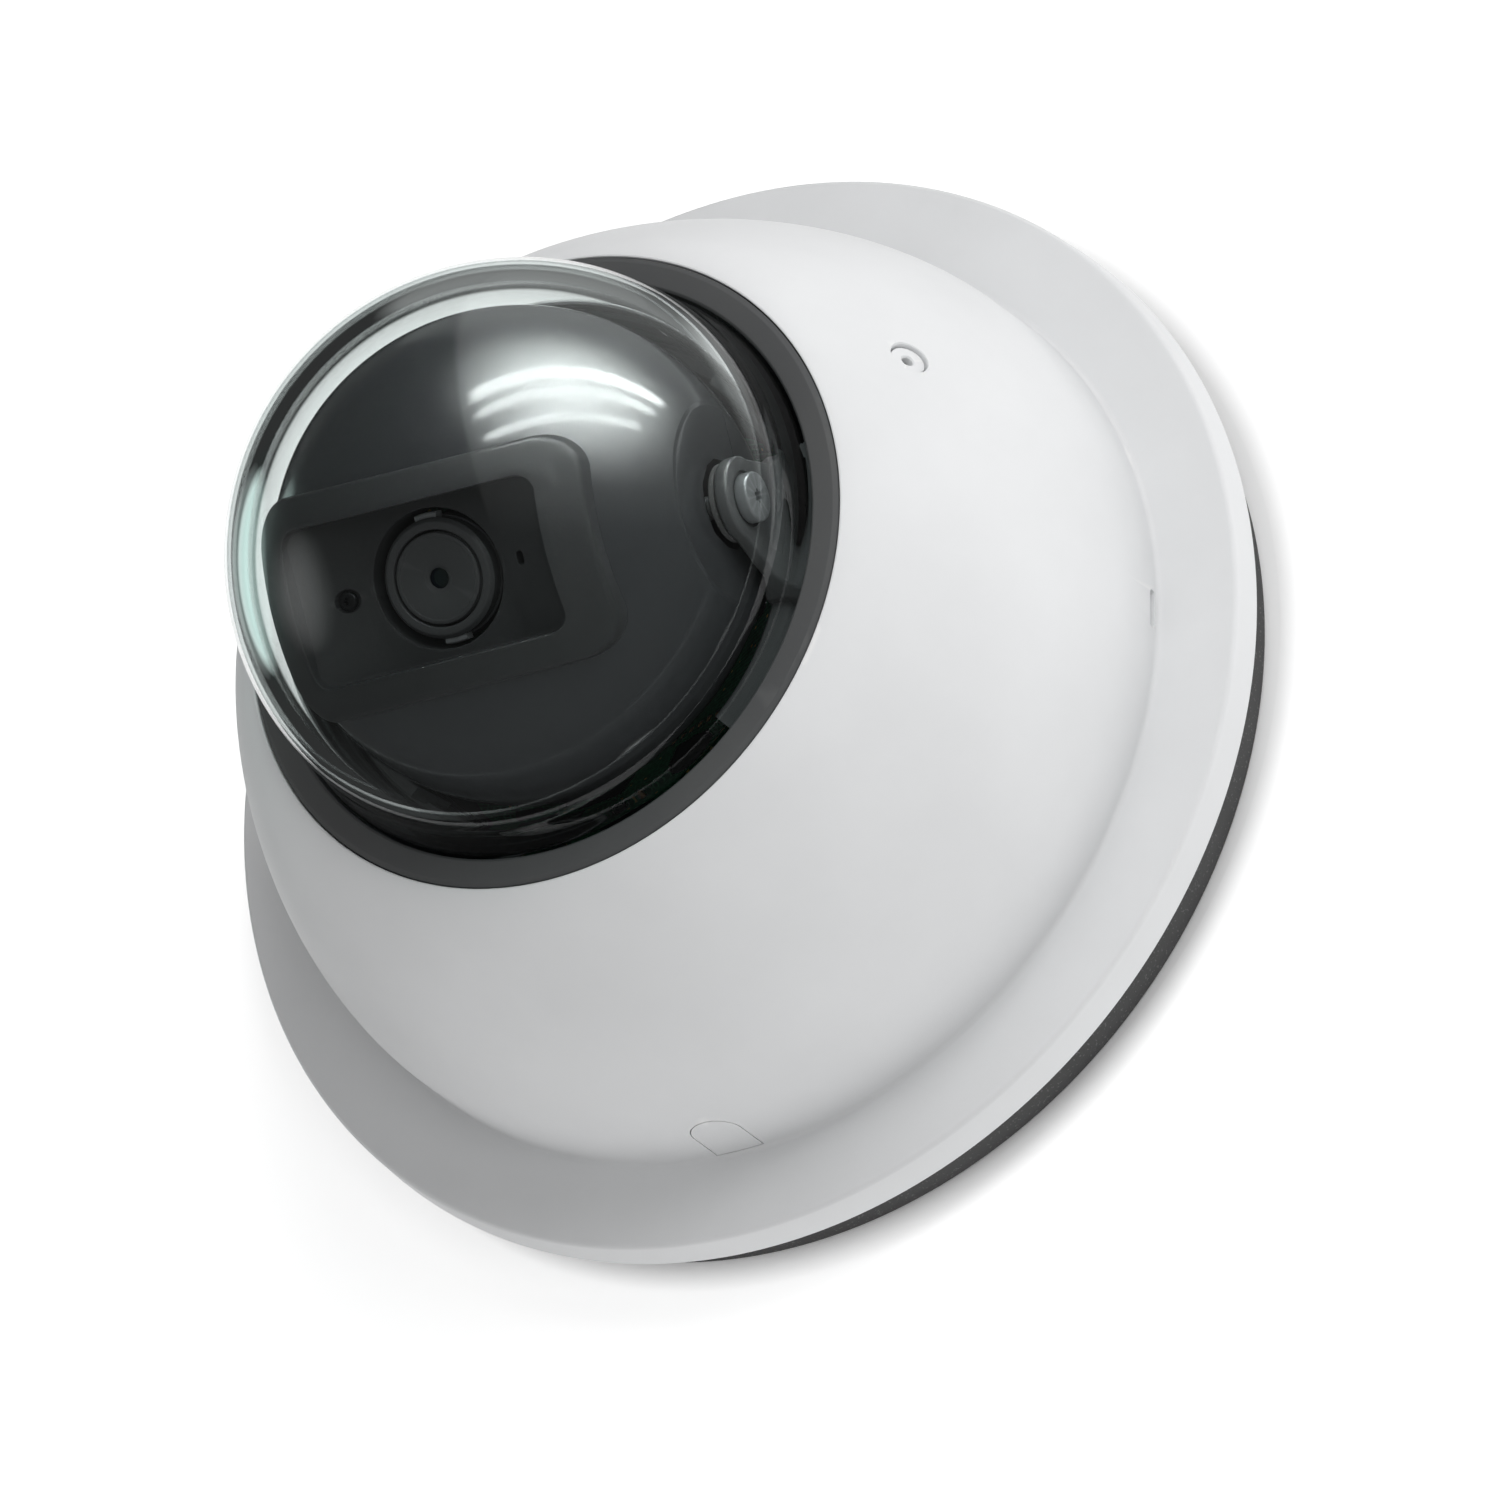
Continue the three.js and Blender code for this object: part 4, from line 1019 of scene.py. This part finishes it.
def ethernet_jack():
    """Shielded network socket, open towards the cable, with its row of contacts."""
    top = ON_BOARD
    jack = soft_block("jack", 0.5, 3, 21, 16, top, top + 13.5, -28.5, 0)
    cut(jack, block(16, 11.8, top + 3.2, top + 10.2, -32.5, 0))
    cut(jack, block(16, 4.4, top + 1.2, top + 4.0, -32.5, 0))
    for side in (-1, 1):
        cut(jack, block(4.0, 0.5, top + 5.0, top + 8.5, -31.0, side * 8.0))
        cut(jack, block(2.2, 0.5, top + 4.0, top + 5.2, -23.0, side * 8.0))
    cut(jack, block(0.3, 17, top + 13.3, top + 14, -24.5, 0))
    stand_in("ethernet_jack", jack, STEEL)
    contacts = [block(9.0, 0.45, top + 9.2, top + 9.5, -33.0, -3.57 + 1.02 * i) for i in range(8)]
    soldered("jack_contacts", contacts, GOLD, 0.05)


def memory_card_slot():
    top = ON_BOARD
    slot = soft_block("slot", 0.25, 2, 14, 14.6, top, top + 1.9, 24, -15)
    cut(slot, block(14, 11.4, top + 0.5, top + 1.5, 26, -15))
    for x, y, width, depth in ((20.0, -18.5, 1.0, 4.0), (20.0, -11.5, 1.0, 4.0), (27.5, -15.0, 2.5, 5.0)):
        cut(slot, block(width, depth, top + 1.4, top + 3, x, y))
    stand_in("memory_card_slot", slot, STEEL)


def reset_switch():
    """Square push switch with its button and four rivets."""
    top = ON_BOARD
    place = to(*SWITCH)
    switch = soft_block("switch", 0.3, 3, 6.2, 6.2, top, top + 3.2, *SWITCH)
    drill(switch, 2.0, top + 1.3, top + 6, place, steps=40)
    stand_in("reset_switch", switch, CHIP)
    stand_in("reset_button", moved(disc(1.7, top + 1.9, top + 4.7, 0.3, 40), place), TRIM)
    rivet = disc(0.45, top + 3.1, top + 3.32, 0.08, 16)
    rivets = [moved(rivet, place @ to(dx, dy)) for dx in (-2.4, 2.4) for dy in (-2.4, 2.4)]
    extra("reset_switch_studs", joined(*rivets), "base", STEEL)


def led_and_connector():
    """Status light, and the connector that the head's ribbon plugs into."""
    top = ON_BOARD
    led = [(0, top), (1.5, top)] + arc((0, top + 2.2), 1.5, 0, 90, 16)
    led[-1] = (0, led[-1][1])
    stand_in("status_led", moved(lathe(led, 48), to(33, 4)), LED)
    plug = soft_block("plug", 0.3, 3, 12, 4, top, top + 2.6)
    for x in (-5.0, 5.0):
        cut(plug, block(0.8, 2.0, top + 1.8, top + 3, x, 0.9))
    stand_in("head_connector", plug, BLACK)
    pins = [block(0.3, 5.2, top - 0.3, top + 0.2, -4.5 + 0.75 * i, 0) for i in range(13)]
    soldered("head_connector_pins", pins, GOLD, 0.03)


def sensor_stack():
    """Board, image sensor and lens holder inside the ball."""
    sensor_board = new_object("sensor_board", block(27, 22, 4.0, 5.3))
    for x in (-SENSOR_POST_X, SENSOR_POST_X):
        drill(sensor_board, 1.2, 0, 10, to(x), 0.05)
    stand_in_head("sensor_board", bevelled(sensor_board, 0.12, 50, 1), BOARD)
    stand_in_head("image_sensor", soft_block("sensor", 0.15, 2, 7.2, 5.6, 5.6, 6.6), CHIP)
    holder = soft_block("holder", 0.5, 3, 15, 15, 5.6, 9.2)
    add(holder, disc(7.6, 9.0, 17.9, 0.3, 96))
    cut(holder, disc(5.0, 0, 30, 0.1, 64))
    cut(holder, disc(6.3, 8.9, 30, 0.1, 64))
    for angle in range(0, 360, 30):
        drill(holder, 0.5, 11, 19, at(7.7, angle), steps=12)
    stand_in_head("lens_holder", holder, BLACK)


def head_ribbon():
    """Flat ribbon cable with raised copper tracks."""
    low, high = box_mm("head_ribbon")
    stand_in("head_ribbon", soft_block("film", 0.1, 2, 10, 0.4, low.z, high.z), FILM)
    tracks = [block(0.32, 0.46, low.z + 0.2, high.z - 0.2, -4.2 + 0.7 * i, 0) for i in range(13)]
    extra("head_ribbon_tracks", joined(*tracks), "pan", COPPER)


# ------------------------------------------------------------------ camera, floor and lights
# The view is parallel, from below and to the right of the camera head, at the angle given here
# by the view's own axes in the row's frame.
VIEW_RIGHT = Vector((0.86535, -0.00697, -0.50113))
VIEW_UP = Vector((0.21967, 0.90401, 0.36677))
VIEW_BACK = Vector((0.45046, -0.42747, 0.78381))
VIEW_SIZE = 0.1959                                # what the picture's side covers, in metres
VIEW_CENTRE = Vector((0, 0, FLANGE_FRONT)) * MM + VIEW_RIGHT * 0.00141 - VIEW_UP * 0.00466


# Square lamps for the soft shading only: what shiny surfaces show is in the surroundings. Each
# has a place along the view's right, up and back axes, in metres, and a power.
LAMPS = [
    ("top_front", (0.1, 0.75, 0.65), 3.9),
    ("top", (0.0, 0.9, 0.25), 1.8),
    ("front", (0.0, 0.1, 1.0), 1.4),
    ("left", (-0.8, 0.2, 0.6), 1.0),
    ("upper_left", (-0.5, 0.7, 0.5), 0.6),
    ("upper_right", (0.5, 0.5, 0.7), 1.0),
]
LAMP_SIZE = 0.5
LAMP_AIM = Vector((0, 0, 0.05))
# The floor glows, but not in a round patch under the object, set off a little towards +x, which keeps its
# contact shadow dark: a painted shadow that shows most on that side.
FLOOR_GLOW_PAINTED_SHADOW = {"centre": (0.0025, 0.0006), "start": 0.0715, "full": 0.0772, "strength": 0.56}
FLOOR_HALF = 3000                                 # in mm


def along_view(axes):
    """A vector given along the view's right, up and back axes."""
    return VIEW_RIGHT * axes[0] + VIEW_UP * axes[1] + VIEW_BACK * axes[2]


def view_camera():
    data = bpy.data.cameras.new("camera")
    data.type = "ORTHO"
    data.ortho_scale = VIEW_SIZE
    data.clip_start, data.clip_end = 0.01, 10
    camera = bpy.data.objects.new("camera", data)
    basis = Matrix((VIEW_RIGHT, VIEW_UP, VIEW_BACK)).transposed()
    camera.matrix_world = to(*(VIEW_CENTRE + VIEW_BACK * 0.6)) @ basis.to_4x4()
    bpy.context.scene.collection.objects.link(camera)
    bpy.context.scene.camera = camera


def lights():
    for name, centre, power in LAMPS:
        data = bpy.data.lights.new(name, "AREA")
        data.shape = "SQUARE"
        data.size = LAMP_SIZE
        data.energy = power
        light = bpy.data.objects.new(name, data)
        place = along_view(centre) + LAMP_AIM
        ahead = (LAMP_AIM - place).normalized()
        light.matrix_world = to(*place) @ ahead.to_track_quat("-Z", "Y").to_matrix().to_4x4()
        light.visible_camera = False
        light.visible_glossy = False
        light.visible_transmission = False
        bpy.context.scene.collection.objects.link(light)


def floor_material():
    material = blank_material("pale_floor")
    tree, shader, position = opened(material)
    tone = mixed(tree, noise(tree, position, 3.0), linear(0xFAFAFA), linear(0xFCFCFC))
    # Painted shadow: no glow inside the off-centre round patch under the object, rising to full glow beyond
    # its edge.
    x, y = FLOOR_GLOW_PAINTED_SHADOW["centre"]
    offset = shader_node(tree, "ShaderNodeMapping", None, Vector=position, Location=(-x, -y, 0))
    away = shader_node(tree, "ShaderNodeVectorMath", {"operation": "LENGTH"})
    tree.links.new(offset.outputs["Vector"], away.inputs[0])
    glow = spread(tree, away.outputs["Value"], FLOOR_GLOW_PAINTED_SHADOW["start"], FLOOR_GLOW_PAINTED_SHADOW["full"], 0.0,
                  FLOOR_GLOW_PAINTED_SHADOW["strength"])
    feed(tree, shader, Base_Color=tone, Roughness=0.9, Specular_IOR_Level=0.1,
         Emission_Color=(1, 1, 1, 1), Emission_Strength=glow)
    return material


def floor():
    obj = new_object("floor", ([(x * FLOOR_HALF, y * FLOOR_HALF, 0)
                                for x, y in ((-1, -1), (1, -1), (1, 1), (-1, 1))], [[0, 1, 2, 3]]))
    obj.data.materials.append(floor_material())
    obj.visible_glossy = False
    obj.visible_transmission = False


# Pale areas around the object that shiny surfaces show: direction along the view's right, up and
# back axes, then the angles in degrees of the area's core and of its faded edge, and its brightness.
SURROUNDINGS = [
    ((0.02, -0.02, -1.0), 17.5, 19.5, 1.15),
    ((-0.66, -0.04, -0.75), 12, 15, 0.85),
    ((-0.97, -0.16, -0.18), 2, 17, 0.6),
    ((0.0, 0.62, -0.78), 16, 20, 0.22),
    ((0.6, 0.1, -0.8), 22, 28, 0.6),
]
TINTED = {"axes": (-0.72, -0.04, -0.69), "core": 12, "edge": 22, "colour": (0.78, 1.0, 0.95, 1)}
OVERHEAD = {"side": (0.93, 0.332, 0.156), "brightness": 0.42}
# Three lit strips overhead, which only the ball inside the bubble shows: where they lie on a
# plane above it, how they slant there, and the soft glow round them.
STRIPS = {"places": ((0.04, 0.05), (0.25, 0.025), (0.55, 0.027)), "slant": 0.45, "soft": 0.03,
          "middle": 0.3, "half": 0.36, "fade": 0.3, "brightness": 62.0, "lowest": 0.06}
GLOW = {"axes": (0.25, 0.93, 0.16), "core": 4, "edge": 50, "brightness": 15.0}
# Small bright areas that show only as streaks within the clear bubble's own wall.
STREAKS = [
    ((-0.12, -0.45, -0.88), 3, 7, 2.0),
    ((0.1, -0.78, -0.62), 4, 9, 2.5),
    ((0.52, -0.8, -0.29), 4, 9, 2.0),
    ((0.88, -0.38, -0.28), 4, 9, 1.5),
]


def world():
    """Soft fill from below for matt surfaces, and a dim studio with pale areas for shiny ones."""
    surroundings = bpy.data.worlds.new("studio")
    bpy.context.scene.world = surroundings
    surroundings.use_nodes = True
    tree = surroundings.node_tree
    direction = shader_node(tree, "ShaderNodeTexCoord").outputs["Generated"]

    def towards(axis):
        node = shader_node(tree, "ShaderNodeVectorMath", {"operation": "DOT_PRODUCT"})
        tree.links.new(direction, node.inputs[0])
        node.inputs[1].default_value = axis
        return node.outputs["Value"]

    def maths(operation, a, b):
        node = shader_node(tree, "ShaderNodeMath", {"operation": operation})
        for socket, value in zip(node.inputs, (a, b)):
            plug(tree, socket, value)
        return node.outputs[0]

    def area(axes, core, edge, brightness=1.0):
        """A round area, bright in its core and fading out to its edge."""
        return spread(tree, towards(along_view(axes).normalized()), math.cos(math.radians(edge)),
                      math.cos(math.radians(core)), 0, brightness)

    fill = maths("MULTIPLY", maths("POWER", maths("MAXIMUM", towards((0, -1, 0)), 0.0), 2.0), 0.9)
    side = spread(tree, towards(along_view(OVERHEAD["side"]).normalized()), 0.0, 0.03)
    above = spread(tree, towards(VIEW_UP.normalized()), 0.1, 0.95, 0, OVERHEAD["brightness"])
    shown = maths("MAXIMUM", maths("MULTIPLY", side, above), 0.03)
    for place in SURROUNDINGS:
        shown = maths("MAXIMUM", area(*place), shown)
    up = maths("MAXIMUM", towards(VIEW_UP), 0.05)
    along = maths("DIVIDE", towards(VIEW_RIGHT), up)
    across = maths("DIVIDE", towards(VIEW_BACK + VIEW_RIGHT * STRIPS["slant"]), up)
    strips = 0.0
    for place, half in STRIPS["places"]:
        off = maths("ABSOLUTE", maths("SUBTRACT", across, place), 0.0)
        strip = spread(tree, off, half, half + STRIPS["soft"], STRIPS["brightness"], 0.0)
        strips = maths("ADD", strip, strips)
    ends = maths("ABSOLUTE", maths("SUBTRACT", along, STRIPS["middle"]), 0.0)
    length = spread(tree, ends, STRIPS["half"], STRIPS["half"] + STRIPS["fade"], 1.0, 0.0)
    strips = maths("MULTIPLY", strips, length)
    strips = maths("MULTIPLY", strips, maths("GREATER_THAN", towards(VIEW_UP), STRIPS["lowest"]))
    around = area(GLOW["axes"], GLOW["core"], GLOW["edge"])
    glow = maths("MULTIPLY", maths("POWER", around, 3.0), GLOW["brightness"])
    path = shader_node(tree, "ShaderNodeLightPath")
    # A ray that has gone into the bubble, met one surface there and come out has been through
    # glass more than twice. The strips and their glow are for such rays alone.
    bounces = maths("ADD", path.outputs["Glossy Depth"], path.outputs["Diffuse Depth"])
    once = maths("LESS_THAN", bounces, 1.5)
    through_glass = maths("GREATER_THAN", path.outputs["Transmission Depth"], 2.5)
    through_glass = maths("MULTIPLY", through_glass, once)
    shown = maths("ADD", shown, maths("MULTIPLY", maths("ADD", strips, glow), through_glass))
    inside_glass = maths("COMPARE", path.outputs["Transmission Depth"], 2.0)
    for place in STREAKS:
        shown = maths("ADD", maths("MULTIPLY", area(*place), inside_glass), shown)
    matt = path.outputs["Is Diffuse Ray"]
    shiny = maths("SUBTRACT", 1.0, matt)
    strength = maths("ADD", maths("MULTIPLY", fill, matt), maths("MULTIPLY", shown, shiny))
    tinted = area(TINTED["axes"], TINTED["core"], TINTED["edge"])
    colour = mixed(tree, tinted, (1, 1, 1, 1), TINTED["colour"])
    feed(tree, tree.nodes["Background"], Color=colour, Strength=strength)
    surroundings.cycles.sampling_method = "NONE"


bpy.context.scene.view_settings.view_transform = "Standard"
view_camera()
world()
floor()
cover_shell()
conduit_knockout()
trim_ring()
dome_bubble()
cover_screws()
wall_gasket()
ball()
lens_bezel()
lens()
pan_yoke()
base_plate()
seals()
chassis()
small_screws()
main_board()
chips()
capacitors()
image_processor()
ethernet_jack()
memory_card_slot()
reset_switch()
led_and_connector()
sensor_stack()
head_ribbon()
lights()
